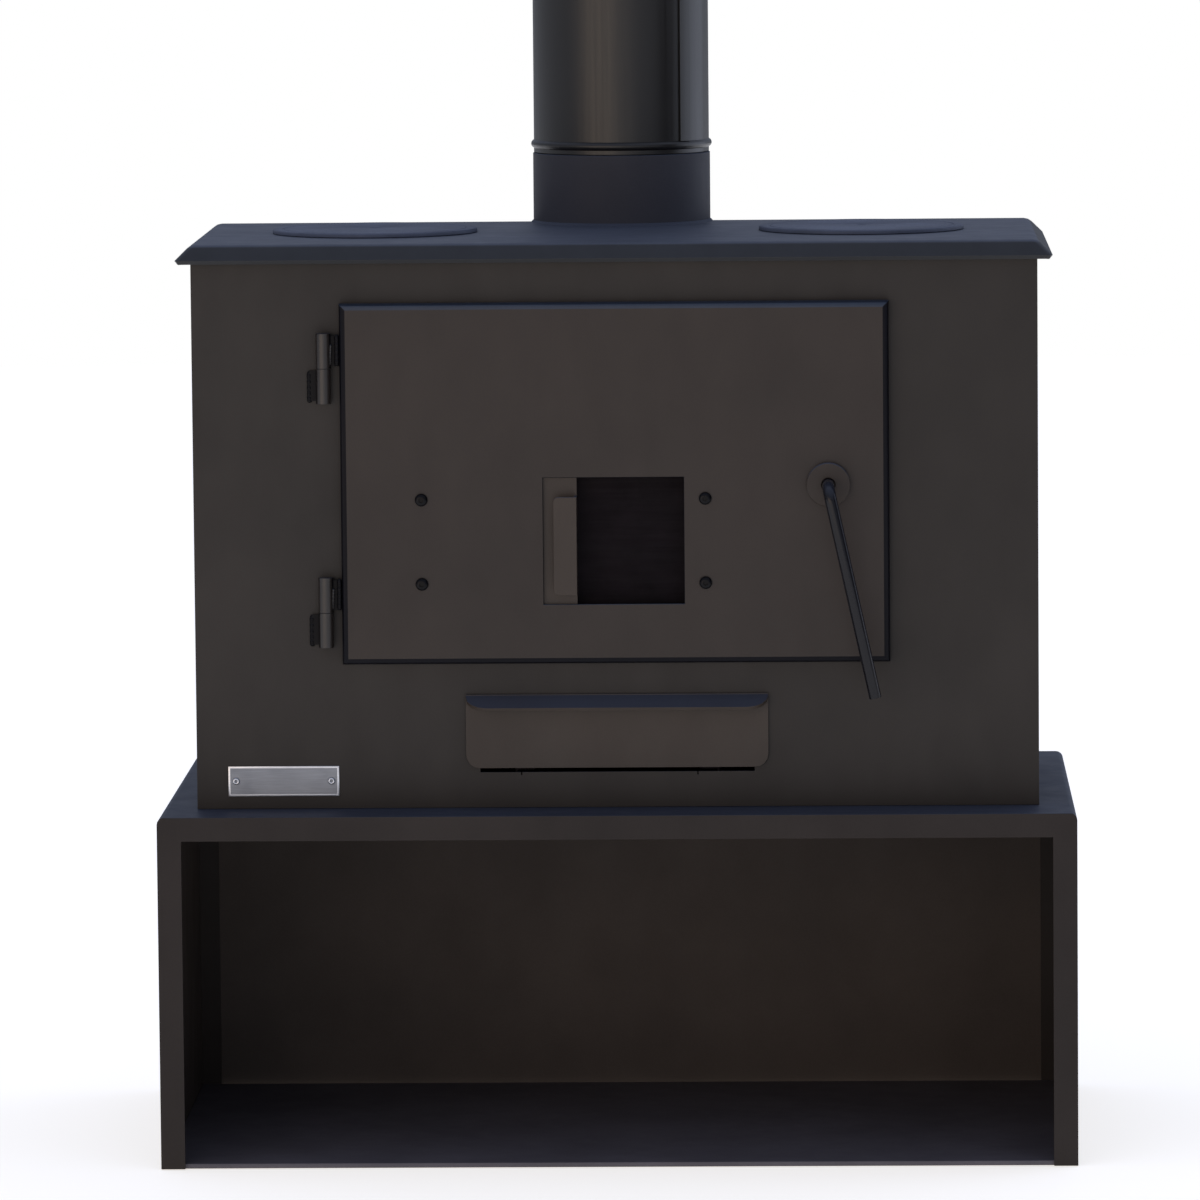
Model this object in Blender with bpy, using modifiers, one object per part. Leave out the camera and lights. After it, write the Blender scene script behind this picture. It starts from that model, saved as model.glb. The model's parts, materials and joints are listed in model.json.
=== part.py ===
"""A wood burning stove on a folded log store stand, in metres, +Z up, front facing -Y.

The origin is on the floor, under the middle of the stand. The stand is an inverted U of sheet with a
flange round its mouth. The firebox stands on it: a welded box of plate under a folded top plate that
carries two lift-off hob discs and, over its rear edge, the flue. The door is a folded pan on two
lift-off hinges, with a sliding air plate behind its window and a turning handle that works a cam.
"""

import math

import bmesh
import bpy
from mathutils import Matrix, Vector

# Fits
GAP = 0.0003
RUNNING_GAP = 0.0008

# Log store stand
STAND_SIDE_LEDGE = 0.030
STAND_D = 0.430
STAND_H = 0.294
STAND_T = 0.003
STAND_FLANGE = 0.020
STAND_FOLD_R = 0.006
STAND_FLOOR_T = 0.004

# Firebox body
BODY_W = 0.700
BODY_D = 0.320
BODY_H = 0.470
BODY_T = 0.004
HEARTH_Z = 0.106
HEARTH_T = 0.004

# Top plate with its sloping lip
TOP_T = 0.004
LIP_OUT = 0.0125
LIP_DROP = 0.0125
TOP_FOLD_R = 0.004

# Hob discs
DISC_R = 0.0865
DISC_T = 0.0035
DISC_X = 0.2055
DISC_Y = 0.006
DISC_RING_R = 0.0745
DISC_RING_DROP = 0.012
DISC_LIFT_HOLE_R = 0.004
DISC_LIFT_HOLE_DEPTH = 0.002
DISC_EDGE = 0.0010

# Flue
FLUE_R = 0.0762
FLUE_Y = 0.150
SPIGOT_T = 0.003
SPIGOT_TOP = 0.060
SPIGOT_BOTTOM = 0.038
PIPE_UNDER_SPIGOT = 0.0008
PIPE_T = 0.0016
PIPE_RISE = 0.300
PIPE_SLEEVE = 0.030
BEAD_LOW = 0.0042
BEAD_HIGH = 0.0105
BEAD_PROUD = 0.0024
FLUE_BOX_W = 0.190
FLUE_BOX_D = 0.086
FLUE_BOX_H = 0.084
FLUE_BOX_T = 0.003
SMOKE_OUTLET_W = 0.170

# Door mouth and door pan
DOOR_LAP = 0.027
MOUTH_H = 0.250
MOUTH_Z = 0.146
DOOR_W = 0.454
DOOR_H = 0.2995
DOOR_Z = 0.1215
DOOR_DEPTH = 0.0137
DOOR_T = 0.003
DOOR_FOLD_R = 0.005
SEAL_R = 0.005
SEAL_OUT = 0.014
SEAL_CORNER_R = 0.012

# Air window, slide and inner shield
WINDOW_W = 0.1165
WINDOW_H = 0.1053
WINDOW_X = -0.0012
WINDOW_Z = 0.1710
SLIDE_W = 0.121
SLIDE_LAP = 0.005
SLIDE_T = 0.002
SLIDE_RIGHT = -0.0315
TAB_W = 0.0193
TAB_H = 0.0816
TAB_PROUD = 0.009
TAB_BELOW_MIDDLE = 0.0035
TAB_CORNER_R = 0.004
RAIL_T = 0.0024
RAIL_LIP = 0.004
SHIELD_T = 0.002
SHIELD_STANDOFF = 0.0122
SHIELD_MARGIN = 0.012
BOLT_X = (-0.1602, 0.0747)
BOLT_Z = (0.1885, 0.2585)
BOLT_R = 0.003
BOLT_HEAD_R = 0.0053
BOLT_HEAD_H = 0.0033
SPACER_R = 0.005
NUT_T = 0.005
NUT_R = 0.0058

# Handle and latch
SPINDLE_FROM_EDGE = 0.0505
SPINDLE_Z = 0.2695
HANDLE_R = 0.0051
HANDLE_REACH = 0.1775
HANDLE_LEAN = math.radians(12.3)
HANDLE_STANDOFF = 0.040
HANDLE_BEND_R = 0.012
BOSS_R = 0.0182
BOSS_T = 0.005
BUSH_R = 0.011
CAM_REACH = 0.0335
CAM_W = 0.018
CAM_T = 0.0055
CAM_CORNER = 0.004
CAM_REST = math.radians(68)
KEEPER_T = 0.0052
KEEPER_W = 0.015
KEEPER_H = 0.042
SPINDLE_NUT_R = 0.010
SPINDLE_NUT_T = 0.006

# Lift-off hinges
HINGE_R = 0.0062
HINGE_BEYOND_DOOR = 0.0134
HINGE_CLEAR = 0.0010
HINGE_PIN_R = 0.0035
HINGE_HALF = 0.029
HINGE_SPLIT = (0.1647, 0.3675)
LEAF_W = 0.0120
LEAF_H = 0.025
LEAF_T = 0.003
LUG_T = 0.003
LUG_BEHIND_PIN = 0.002
HINGE_FOOT = 0.006
HINGE_CAP = 0.003
HINGE_PIN_END_GAP = 0.001
LEAF_OFFSET = 0.002

# Ash drawer
DRAWER_SLOT_W = 0.228
DRAWER_SLOT_Z = 0.0297
DRAWER_SLOT_H = 0.0618
DRAWER_FRONT_W = 0.251
DRAWER_FRONT_Z = 0.0336
DRAWER_FRONT_H = 0.0613
DRAWER_CORNER_R = 0.011
DRAWER_T = 0.003
DRAWER_LIP = 0.021
DRAWER_LIP_CORNER_R = 0.0175
DRAWER_LIP_DROOP = math.radians(27)
TRAY_T = 0.002
TRAY_SIDE_GAP = 0.003
TRAY_LENGTH = 0.270
TRAY_H = 0.052
SLOT_NOTCH = (-0.0796, 0.0668)
SLOT_NOTCH_H = 0.0027
SLOT_NOTCH_W = 0.0010
RUNNER_W = 0.015
RUNNER_T = 0.002

# Lining
BRICK_T = 0.030
BRICK_H = 0.225
BRICK_EDGE = 0.0015
BAFFLE_T = 0.006
BAFFLE_FRONT_GAP = 0.085
GRATE_W = 0.310
GRATE_D = 0.170
GRATE_T = 0.010
GRATE_LAP = 0.012
GRATE_SLOTS = 9
GRATE_SLOT_W = 0.012
RETAINER_W = 0.460
RETAINER_H = 0.050
RETAINER_FOOT = 0.025
RETAINER_T = 0.003
RETAINER_FOLD_R = 0.004
RETAINER_BEHIND_FRONT = 0.012

# Badge
BADGE_W = 0.0923
BADGE_H = 0.0251
BADGE_T = 0.0010
BADGE_X = -0.2777
BADGE_Z = 0.0233
RIVET_R = 0.0030
RIVET_SHANK_R = 0.0016
RIVET_INSET = 0.0064
RIVET_HEAD_H = 0.0013
RIVET_PAST_BACK = 0.002
BADGE_CORNER_R = 0.001

ROUND_STEPS = 32
PIPE_STEPS = 64

# Levels and planes that follow from the sizes above
STAND_W = BODY_W + 2 * STAND_SIDE_LEDGE
PIPE_R = FLUE_R - PIPE_UNDER_SPIGOT
BASE_Z = STAND_H + GAP
TOP_Z = STAND_H + BODY_H
LIP_SLANT = math.hypot(LIP_OUT, LIP_DROP)
WALL_TOP = TOP_Z - TOP_T * LIP_SLANT / LIP_OUT - RUNNING_GAP - GAP
FRONT_Y = -BODY_D / 2
REAR_Y = BODY_D / 2
MOUTH_W = DOOR_W - 2 * DOOR_LAP
SPINDLE_X = DOOR_W / 2 - SPINDLE_FROM_EDGE
HINGE_X = -DOOR_W / 2 - HINGE_BEYOND_DOOR
INNER_FRONT_Y = FRONT_Y + BODY_T
DOOR_BACK_Y = FRONT_Y - GAP
DOOR_FRONT_Y = FRONT_Y - DOOR_DEPTH - GAP
DOOR_INNER_Y = DOOR_FRONT_Y + DOOR_T
HINGE_Y = FRONT_Y - HINGE_R - HINGE_CLEAR

# Finishes: base colour (linear), roughness, metallic
FINISHES = {
    "stove_paint": ((0.042, 0.038, 0.034), 0.55, 0.0),
    "stand_paint": ((0.030, 0.027, 0.026), 0.60, 0.0),
    "flue_enamel": ((0.035, 0.035, 0.038), 0.40, 0.0),
    "dark_steel": ((0.060, 0.060, 0.065), 0.45, 0.9),
    "cast_iron": ((0.050, 0.048, 0.046), 0.75, 0.6),
    "firebrick": ((0.55, 0.42, 0.28), 0.95, 0.0),
    "rope": ((0.10, 0.10, 0.10), 0.95, 0.0),
    "galvanised": ((0.35, 0.35, 0.36), 0.45, 0.9),
    "badge_metal": ((0.55, 0.55, 0.56), 0.35, 0.9),
}

PARTS = bpy.data.collections.new("wood_burning_stove")
CUTTERS = bpy.data.collections.new("cutters")


# ---------------------------------------------------------------------------------------------
# Shape helpers
# ---------------------------------------------------------------------------------------------


def clear_scene():
    """Empties the scene and links the two collections."""
    for obj in list(bpy.data.objects):
        bpy.data.objects.remove(obj, do_unlink=True)
    bpy.context.scene.collection.children.link(PARTS)
    bpy.context.scene.collection.children.link(CUTTERS)


def finish(obj, name):
    """Gives the object a material of its own in the named finish."""
    colour, roughness, metallic = FINISHES[name]
    material = bpy.data.materials.new(f"{obj.name}_{name}")
    material.use_nodes = True
    shader = material.node_tree.nodes["Principled BSDF"]
    shader.inputs["Base Color"].default_value = (*colour, 1.0)
    shader.inputs["Roughness"].default_value = roughness
    shader.inputs["Metallic"].default_value = metallic
    obj.data.materials.append(material)
    return obj


def as_cutter(obj):
    """Moves a helper shape out of the parts, so it only shapes its neighbours."""
    for collection in list(obj.users_collection):
        collection.objects.unlink(obj)
    CUTTERS.objects.link(obj)
    obj.hide_render = True
    obj.display_type = "WIRE"
    return obj


def add_mesh(name, bm, location=(0, 0, 0), smooth=False):
    """Makes an object of the bmesh at a place."""
    mesh = bpy.data.meshes.new(name)
    bm.to_mesh(mesh)
    bm.free()
    if smooth:
        mesh.shade_smooth()
        mesh.set_sharp_from_angle(angle=math.radians(40))
    obj = bpy.data.objects.new(name, mesh)
    obj.location = location
    PARTS.objects.link(obj)
    return obj


def bevel(obj, width):
    """Takes the object's sharp edges off."""
    modifier = obj.modifiers.new("edges", "BEVEL")
    modifier.width = width
    modifier.segments = 1
    modifier.limit_method = "ANGLE"
    modifier.angle_limit = math.radians(40)
    return obj


def combine(obj, other, operation):
    """Cuts the helper shape out of the object, or joins it on."""
    modifier = obj.modifiers.new(f"{operation.lower()}_{other.name}", "BOOLEAN")
    modifier.operation = operation
    modifier.object = as_cutter(other)
    return obj


def cut(obj, other):
    """Takes the helper shape out of the object."""
    return combine(obj, other, "DIFFERENCE")


def join(obj, other):
    """Welds the helper shape to the object."""
    return combine(obj, other, "UNION")


def block(name, low, high):
    """A box between two corners."""
    size = [h - l for l, h in zip(low, high)]
    centre = [(h + l) / 2 for l, h in zip(low, high)]
    bm = bmesh.new()
    bmesh.ops.create_cube(bm, size=1.0, matrix=Matrix.Diagonal((*size, 1.0)))
    return add_mesh(name, bm, centre)


def rod(name, radius, length, centre, axis="Z", sides=ROUND_STEPS):
    """A solid cylinder about a point, along an axis."""
    bm = bmesh.new()
    turn = {"X": Matrix.Rotation(math.pi / 2, 4, "Y"), "Y": Matrix.Rotation(math.pi / 2, 4, "X")}
    bmesh.ops.create_cone(
        bm,
        cap_ends=True,
        segments=sides,
        radius1=radius,
        radius2=radius,
        depth=length,
        matrix=turn.get(axis, Matrix.Identity(4)),
    )
    return add_mesh(name, bm, centre, smooth=True)


def turned(name, profile, location, steps=ROUND_STEPS, facing="Z"):
    """A turned piece: the profile's (radius, height) points run down the outer side, top to bottom.

    A profile that starts and ends off the axis is closed, so it makes a ring or a tube.
    """
    bm = bmesh.new()
    verts = [bm.verts.new((radius, 0.0, height)) for radius, height in profile]
    for start, end in zip(verts, verts[1:]):
        bm.edges.new((start, end))
    if profile[0][0] > 0 and profile[-1][0] > 0:
        bm.edges.new((verts[-1], verts[0]))
    obj = add_mesh(name, bm, location)
    screw = obj.modifiers.new("turn", "SCREW")
    screw.steps = steps
    screw.render_steps = steps
    screw.use_merge_vertices = True
    screw.merge_threshold = 0.00001
    screw.use_smooth_shade = True
    if facing == "FRONT":
        obj.rotation_euler = (math.pi / 2, 0, 0)
    return obj


def hex_nut(name, radius, bore, low_y, high_y, x, z):
    """A hexagonal nut on a bolt that runs front to back."""
    middle = (x, (low_y + high_y) / 2, z)
    nut = rod(name, radius, high_y - low_y, middle, "Y", 6)
    return cut(nut, rod(f"{name}_bore_cutter", bore, 4 * (high_y - low_y), middle, "Y", 24))


def ring_profile(outer, inner, low, high):
    """The closed profile of a plain tube."""
    return [(outer, high), (outer, low), (inner, low), (inner, high)]


def rounded(points, radius, steps=3):
    """Replaces each inner corner of an open run of 2D points by an arc of short legs."""
    result = [points[0]]
    for before, corner, after in zip(points, points[1:], points[2:]):
        corner = Vector(corner)
        back = (Vector(before) - corner).normalized()
        ahead = (Vector(after) - corner).normalized()
        half = back.angle(ahead) / 2
        trim = radius / math.tan(half)
        centre = corner + (back + ahead).normalized() * (radius / math.sin(half))
        start = corner + back * trim - centre
        sweep = start.angle_signed(corner + ahead * trim - centre)
        for step in range(steps + 1):
            leg = Matrix.Rotation(-sweep * step / steps, 2) @ start
            result.append(tuple(centre + leg))
    result.append(points[-1])
    return result


def folded(name, path, low, high, thickness, plane, side=1.0):
    """A folded sheet: a run of 2D points in a plane, drawn out along the third axis, then thickened.

    The sheet lies on the side of the run that the sign of side picks.
    """
    place = {
        "XY": lambda a, b, c: (a, b, c),
        "YZ": lambda a, b, c: (c, a, b),
        "XZ": lambda a, b, c: (a, c, b),
    }[plane]
    bm = bmesh.new()
    rows = []
    for a, b in path:
        rows.append((bm.verts.new(place(a, b, low)), bm.verts.new(place(a, b, high))))
    for (low_0, high_0), (low_1, high_1) in zip(rows, rows[1:]):
        bm.faces.new((low_0, low_1, high_1, high_0))
    obj = add_mesh(name, bm)
    solidify = obj.modifiers.new("sheet", "SOLIDIFY")
    solidify.thickness = thickness
    solidify.offset = side
    solidify.use_even_offset = True
    return obj


def outline_plate(name, outline, thickness, location, upright=True):
    """A flat plate cut to an outline, standing up facing the front or lying flat."""
    curve = bpy.data.curves.new(name, "CURVE")
    curve.dimensions = "2D"
    curve.fill_mode = "BOTH"
    curve.extrude = thickness / 2
    spline = curve.splines.new("POLY")
    spline.points.add(len(outline) - 1)
    for point, (a, b) in zip(spline.points, outline):
        point.co = (a, b, 0.0, 1.0)
    spline.use_cyclic_u = True
    obj = bpy.data.objects.new(name, curve)
    PARTS.objects.link(obj)
    obj.location = location
    if upright:
        obj.rotation_euler = (math.pi / 2, 0, 0)
    return curve_to_mesh(obj)


def curve_to_mesh(obj):
    """Turns a curve object into a mesh object with welded caps."""
    bpy.context.view_layer.update()
    graph = bpy.context.evaluated_depsgraph_get()
    mesh = bpy.data.meshes.new_from_object(obj.evaluated_get(graph))
    bm = bmesh.new()
    bm.from_mesh(mesh)
    bmesh.ops.remove_doubles(bm, verts=bm.verts, dist=0.00001)
    bm.to_mesh(mesh)
    bm.free()
    name = obj.name
    matrix = obj.matrix_world.copy()
    curve = obj.data
    bpy.data.objects.remove(obj, do_unlink=True)
    bpy.data.curves.remove(curve)
    result = bpy.data.objects.new(name, mesh)
    result.matrix_world = matrix
    PARTS.objects.link(result)
    return result


def bar(name, points, radius, cyclic=False, sides=3):
    """A round bar along a run of points."""
    curve = bpy.data.curves.new(name, "CURVE")
    curve.dimensions = "3D"
    curve.bevel_depth = radius
    curve.bevel_resolution = sides
    curve.use_fill_caps = not cyclic
    spline = curve.splines.new("POLY")
    spline.points.add(len(points) - 1)
    for point, place in zip(spline.points, points):
        point.co = (*place, 1.0)
    spline.use_cyclic_u = cyclic
    obj = bpy.data.objects.new(name, curve)
    PARTS.objects.link(obj)
    return curve_to_mesh(obj)


def rounded_rectangle(width, height, radii, steps=4):
    """The outline of a rectangle about its middle; radii run from lower left, anticlockwise."""
    corners = [(-1, -1, 180), (1, -1, 270), (1, 1, 0), (-1, 1, 90)]
    points = []
    for (sign_x, sign_y, start), radius in zip(corners, radii):
        x = sign_x * (width / 2 - radius)
        y = sign_y * (height / 2 - radius)
        if radius == 0:
            points.append((x, y))
            continue
        for step in range(steps + 1):
            angle = math.radians(start + 90 * step / steps)
            points.append((x + radius * math.cos(angle), y + radius * math.sin(angle)))
    return points


def is_level(edge, way):
    """Whether an edge lies square to a way."""
    run = edge.verts[1].co - edge.verts[0].co
    return abs(run.normalized().dot(Vector(way))) < 0.5


def open_pan(name, low, high, open_side, fold_radius, thickness, welded=False):
    """A box of sheet without the side named by open_side, with its folds rounded.

    Where welded, the four walls meet in square corners, and only their folds to the face are rounded.
    """
    size = Vector(high) - Vector(low)
    centre = (Vector(high) + Vector(low)) / 2
    bm = bmesh.new()
    bmesh.ops.create_cube(bm, size=1.0, matrix=Matrix.Diagonal((*size, 1.0)))
    gone = [face for face in bm.faces if face.normal.dot(Vector(open_side)) > 0.9]
    bmesh.ops.delete(bm, geom=gone, context="FACES")
    edges = [edge for edge in bm.edges if len(edge.link_faces) == 2]
    if welded:
        edges = [edge for edge in edges if is_level(edge, open_side)]
    bmesh.ops.bevel(bm, geom=edges, offset=fold_radius, segments=2, profile=0.5, affect="EDGES")
    obj = add_mesh(name, bm, centre)
    solidify = obj.modifiers.new("sheet", "SOLIDIFY")
    solidify.thickness = thickness
    solidify.offset = -1.0
    solidify.use_even_offset = True
    return obj


# ---------------------------------------------------------------------------------------------
# Log store stand
# ---------------------------------------------------------------------------------------------


def stand_shell():
    """An inverted U of sheet with a flange round its mouth and a return down each rear edge."""
    half = STAND_W / 2
    front = -STAND_D / 2
    rear = STAND_D / 2 - STAND_T - GAP
    path = rounded([(-half, 0), (-half, STAND_H), (half, STAND_H), (half, 0)], STAND_FOLD_R, 4)
    shell = outline_plate("stand_shell", path, rear - front, (0, (front + rear) / 2, 0))
    below = -STAND_T
    wall = half - STAND_T
    mouth = half - STAND_FLANGE
    under_top = STAND_H - STAND_T
    inside = block("stand_inside_cutter", (-wall, front + STAND_T, below), (wall, rear - STAND_T, under_top))
    cut(shell, inside)
    mouth_top = STAND_H - STAND_FLANGE
    cut(shell, block("stand_mouth_cutter", (-mouth, front - STAND_T, below), (mouth, 0, mouth_top)))
    cut(shell, block("stand_rear_cutter", (-mouth, 0, below), (mouth, rear + STAND_T, under_top - GAP)))
    return finish(shell, "stand_paint")


def stand_back_panel():
    """The sheet that closes the back of the log store."""
    half = STAND_W / 2
    path = rounded([(-half, 0), (-half, STAND_H), (half, STAND_H), (half, 0)], STAND_FOLD_R, 4)
    panel = outline_plate("stand_back_panel", path, STAND_T, (0, STAND_D / 2 - STAND_T / 2, 0))
    return finish(panel, "stand_paint")


def stand_floor():
    """The floor plate of the log store."""
    side = STAND_W / 2 - STAND_T - GAP
    front = -STAND_D / 2 + STAND_T + GAP
    rear = STAND_D / 2 - 2 * STAND_T - 2 * GAP
    plate = block("stand_floor", (-side, front, 0), (side, rear, STAND_FLOOR_T))
    return finish(plate, "stand_paint")


# ---------------------------------------------------------------------------------------------
# Firebox body
# ---------------------------------------------------------------------------------------------


def body_front_panel():
    """The front plate with the door mouth, the drawer slot and the badge's two rivet holes."""
    half = BODY_W / 2
    panel = block("body_front_panel", (-half, FRONT_Y, BASE_Z), (half, INNER_FRONT_Y, WALL_TOP))
    through = (FRONT_Y - BODY_T, INNER_FRONT_Y + BODY_T)
    mouth_low = STAND_H + MOUTH_Z
    cut(
        panel,
        block(
            "mouth_cutter",
            (-MOUTH_W / 2, through[0], mouth_low),
            (MOUTH_W / 2, through[1], mouth_low + MOUTH_H),
        ),
    )
    slot_low = STAND_H + DRAWER_SLOT_Z
    cut(
        panel,
        block(
            "slot_cutter",
            (-DRAWER_SLOT_W / 2, through[0], slot_low),
            (DRAWER_SLOT_W / 2, through[1], slot_low + DRAWER_SLOT_H),
        ),
    )
    for index, x in enumerate(SLOT_NOTCH):
        low = (x - SLOT_NOTCH_W / 2, through[0], slot_low - SLOT_NOTCH_H)
        high = (x + SLOT_NOTCH_W / 2, through[1], slot_low + DRAWER_SLOT_H / 2)
        cut(panel, block(f"slot_notch_cutter_{index}", low, high))
    for index, x in enumerate(rivet_places()):
        hole_r = RIVET_SHANK_R + GAP
        place = (x, FRONT_Y, STAND_H + BADGE_Z)
        cut(panel, rod(f"rivet_hole_cutter_{index}", hole_r, BODY_T * 4, place, "Y", 12))
    return finish(panel, "stove_paint")


def body_side(name, sign):
    """A side plate between the front and back plates."""
    outer = sign * BODY_W / 2
    inner = sign * (BODY_W / 2 - BODY_T)
    panel = block(
        name,
        (min(outer, inner), INNER_FRONT_Y + GAP, BASE_Z),
        (max(outer, inner), REAR_Y - BODY_T - GAP, WALL_TOP),
    )
    return finish(panel, "stove_paint")


def body_back_panel():
    """The back plate, open at the smoke outlet and notched for the flue spigot."""
    half = BODY_W / 2
    panel = block("body_back_panel", (-half, REAR_Y - BODY_T, BASE_Z), (half, REAR_Y, WALL_TOP))
    through = (REAR_Y - 2 * BODY_T, REAR_Y + BODY_T)
    box_low, box_high = flue_box_levels()
    outlet_high = box_high - FLUE_BOX_T - GAP
    cut(
        panel,
        block(
            "smoke_outlet_cutter",
            (-SMOKE_OUTLET_W / 2, through[0], box_low + FLUE_BOX_T + GAP),
            (SMOKE_OUTLET_W / 2, through[1], outlet_high),
        ),
    )
    notch = FLUE_R + RUNNING_GAP
    cut(
        panel,
        block(
            "spigot_notch_cutter",
            (-notch, through[0], outlet_high - BODY_T),
            (notch, through[1], TOP_Z),
        ),
    )
    return finish(panel, "stove_paint")


def body_floor():
    """The bottom plate, inside the four walls."""
    side = BODY_W / 2 - BODY_T - GAP
    depth = BODY_D / 2 - BODY_T - GAP
    plate = block("body_floor", (-side, -depth, BASE_Z), (side, depth, BASE_Z + BODY_T))
    return finish(plate, "stove_paint")


def hearth_plate():
    """The firebox floor, with the opening that ash falls through."""
    side = BODY_W / 2 - BODY_T - GAP
    depth = BODY_D / 2 - BODY_T - GAP
    low = STAND_H + HEARTH_Z
    plate = block("hearth_plate", (-side, -depth, low), (side, depth, low + HEARTH_T))
    open_x = GRATE_W / 2 - GRATE_LAP
    open_y = GRATE_D / 2 - GRATE_LAP
    cut(
        plate,
        block(
            "ash_opening_cutter",
            (-open_x, -open_y, low - HEARTH_T),
            (open_x, open_y, low + 2 * HEARTH_T),
        ),
    )
    return finish(plate, "stove_paint")


def top_plate():
    """The folded top: flat, with a lip that slopes out and down on all four sides."""
    half_x = BODY_W / 2
    half_y = BODY_D / 2
    bm = bmesh.new()
    bmesh.ops.create_cube(bm, size=1.0, matrix=Matrix.Diagonal((2 * half_x, 2 * half_y, LIP_DROP, 1.0)))
    under = [face for face in bm.faces if face.normal.z < -0.9]
    bmesh.ops.delete(bm, geom=under, context="FACES")
    for vert in bm.verts:
        if vert.co.z < 0:
            vert.co.x += math.copysign(LIP_OUT, vert.co.x)
            vert.co.y += math.copysign(LIP_OUT, vert.co.y)
    folds = [edge for edge in bm.edges if len(edge.link_faces) == 2]
    bmesh.ops.bevel(bm, geom=folds, offset=TOP_FOLD_R, segments=2, profile=0.5, affect="EDGES")
    plate = add_mesh("top_plate", bm, (0, 0, TOP_Z - LIP_DROP / 2))
    solidify = plate.modifiers.new("sheet", "SOLIDIFY")
    solidify.thickness = TOP_T
    solidify.offset = -1.0
    solidify.use_even_offset = True
    for sign, side in ((-1, "left"), (1, "right")):
        place = (sign * DISC_X, DISC_Y, TOP_Z)
        hole_r = DISC_RING_R + 2 * RUNNING_GAP
        cut(plate, rod(f"hob_hole_cutter_{side}", hole_r, 8 * TOP_T, place, "Z", 48))
    flue_hole_r = FLUE_R + RUNNING_GAP
    cut(plate, rod("flue_hole_cutter", flue_hole_r, 16 * TOP_T, (0, FLUE_Y, TOP_Z), "Z", PIPE_STEPS))
    return finish(plate, "stove_paint")


def hob_disc(name, sign):
    """A lift-off disc that rests on the top plate, with a ring below that centres it in its hole."""
    top = DISC_T
    profile = [
        (0.0, top - DISC_LIFT_HOLE_DEPTH),
        (DISC_LIFT_HOLE_R, top - DISC_LIFT_HOLE_DEPTH),
        (DISC_LIFT_HOLE_R, top),
        (DISC_R - DISC_EDGE, top),
        (DISC_R, top - DISC_EDGE),
        (DISC_R, 0.0),
        (DISC_RING_R, 0.0),
        (DISC_RING_R, -DISC_RING_DROP),
        (DISC_RING_R - TOP_T, -DISC_RING_DROP),
        (DISC_RING_R - TOP_T, -TOP_T),
        (0.0, -TOP_T),
    ]
    disc = turned(name, profile, (sign * DISC_X, DISC_Y, TOP_Z + GAP), 48)
    return finish(disc, "cast_iron")


# ---------------------------------------------------------------------------------------------
# Flue
# ---------------------------------------------------------------------------------------------


def flue_box_levels():
    """The lowest and highest levels of the smoke box behind the body."""
    high = TOP_Z - SPIGOT_BOTTOM + FLUE_BOX_T + GAP
    return high - FLUE_BOX_H, high


def flue_box():
    """The smoke box behind the body, open to the front, with the spigot standing in its top."""
    low, high = flue_box_levels()
    front = REAR_Y + GAP
    box = open_pan(
        "flue_box",
        (-FLUE_BOX_W / 2, front, low),
        (FLUE_BOX_W / 2, front + FLUE_BOX_D, high),
        (0, -1, 0),
        FLUE_BOX_T,
        FLUE_BOX_T,
    )
    hole_r = FLUE_R + RUNNING_GAP
    cut(box, rod("flue_box_hole_cutter", hole_r, 6 * FLUE_BOX_T, (0, FLUE_Y, high), "Z", PIPE_STEPS))
    return finish(box, "stove_paint")


def flue_spigot():
    """The short tube that carries the flue pipe."""
    profile = ring_profile(FLUE_R, FLUE_R - SPIGOT_T, -SPIGOT_BOTTOM, SPIGOT_TOP)
    spigot = turned("flue_spigot", profile, (0, FLUE_Y, TOP_Z), PIPE_STEPS)
    return finish(spigot, "flue_enamel")


def flue_pipe():
    """The flue pipe: a bead above its lower rim, and a sleeve below that fits inside the spigot."""
    rim = SPIGOT_TOP + GAP
    sleeve = FLUE_R - SPIGOT_T - RUNNING_GAP
    profile = [
        (PIPE_R, PIPE_RISE),
        (PIPE_R, rim + BEAD_HIGH),
        (PIPE_R + 0.8 * BEAD_PROUD, rim + 0.75 * BEAD_HIGH + 0.25 * BEAD_LOW),
        (PIPE_R + BEAD_PROUD, rim + (BEAD_HIGH + BEAD_LOW) / 2),
        (PIPE_R + 0.8 * BEAD_PROUD, rim + 0.25 * BEAD_HIGH + 0.75 * BEAD_LOW),
        (PIPE_R, rim + BEAD_LOW),
        (PIPE_R, rim),
        (sleeve, rim),
        (sleeve, rim - PIPE_SLEEVE),
        (sleeve - PIPE_T, rim - PIPE_SLEEVE),
        (sleeve - PIPE_T, rim + BEAD_LOW),
        (PIPE_R - PIPE_T, rim + BEAD_HIGH),
        (PIPE_R - PIPE_T, PIPE_RISE),
    ]
    pipe = turned("flue_pipe", profile, (0, FLUE_Y, TOP_Z), PIPE_STEPS)
    return finish(pipe, "flue_enamel")


# ---------------------------------------------------------------------------------------------
# Lining
# ---------------------------------------------------------------------------------------------


def firebricks():
    """A brick down each side of the firebox and two along the back."""
    low = STAND_H + HEARTH_Z + HEARTH_T + GAP
    high = low + BRICK_H
    side = BODY_W / 2 - BODY_T - GAP
    rear = BODY_D / 2 - BODY_T - GAP
    bricks = []
    for name, sign in (("firebrick_left", -1), ("firebrick_right", 1)):
        edge = sign * side
        inner = sign * (side - BRICK_T)
        low_corner = (min(edge, inner), -rear, low)
        high_corner = (max(edge, inner), rear - BRICK_T - GAP, high)
        bricks.append(block(name, low_corner, high_corner))
    bricks.append(block("firebrick_back_left", (-side, rear - BRICK_T, low), (-GAP, rear, high)))
    bricks.append(block("firebrick_back_right", (GAP, rear - BRICK_T, low), (side, rear, high)))
    return [finish(bevel(brick, BRICK_EDGE), "firebrick") for brick in bricks]


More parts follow.
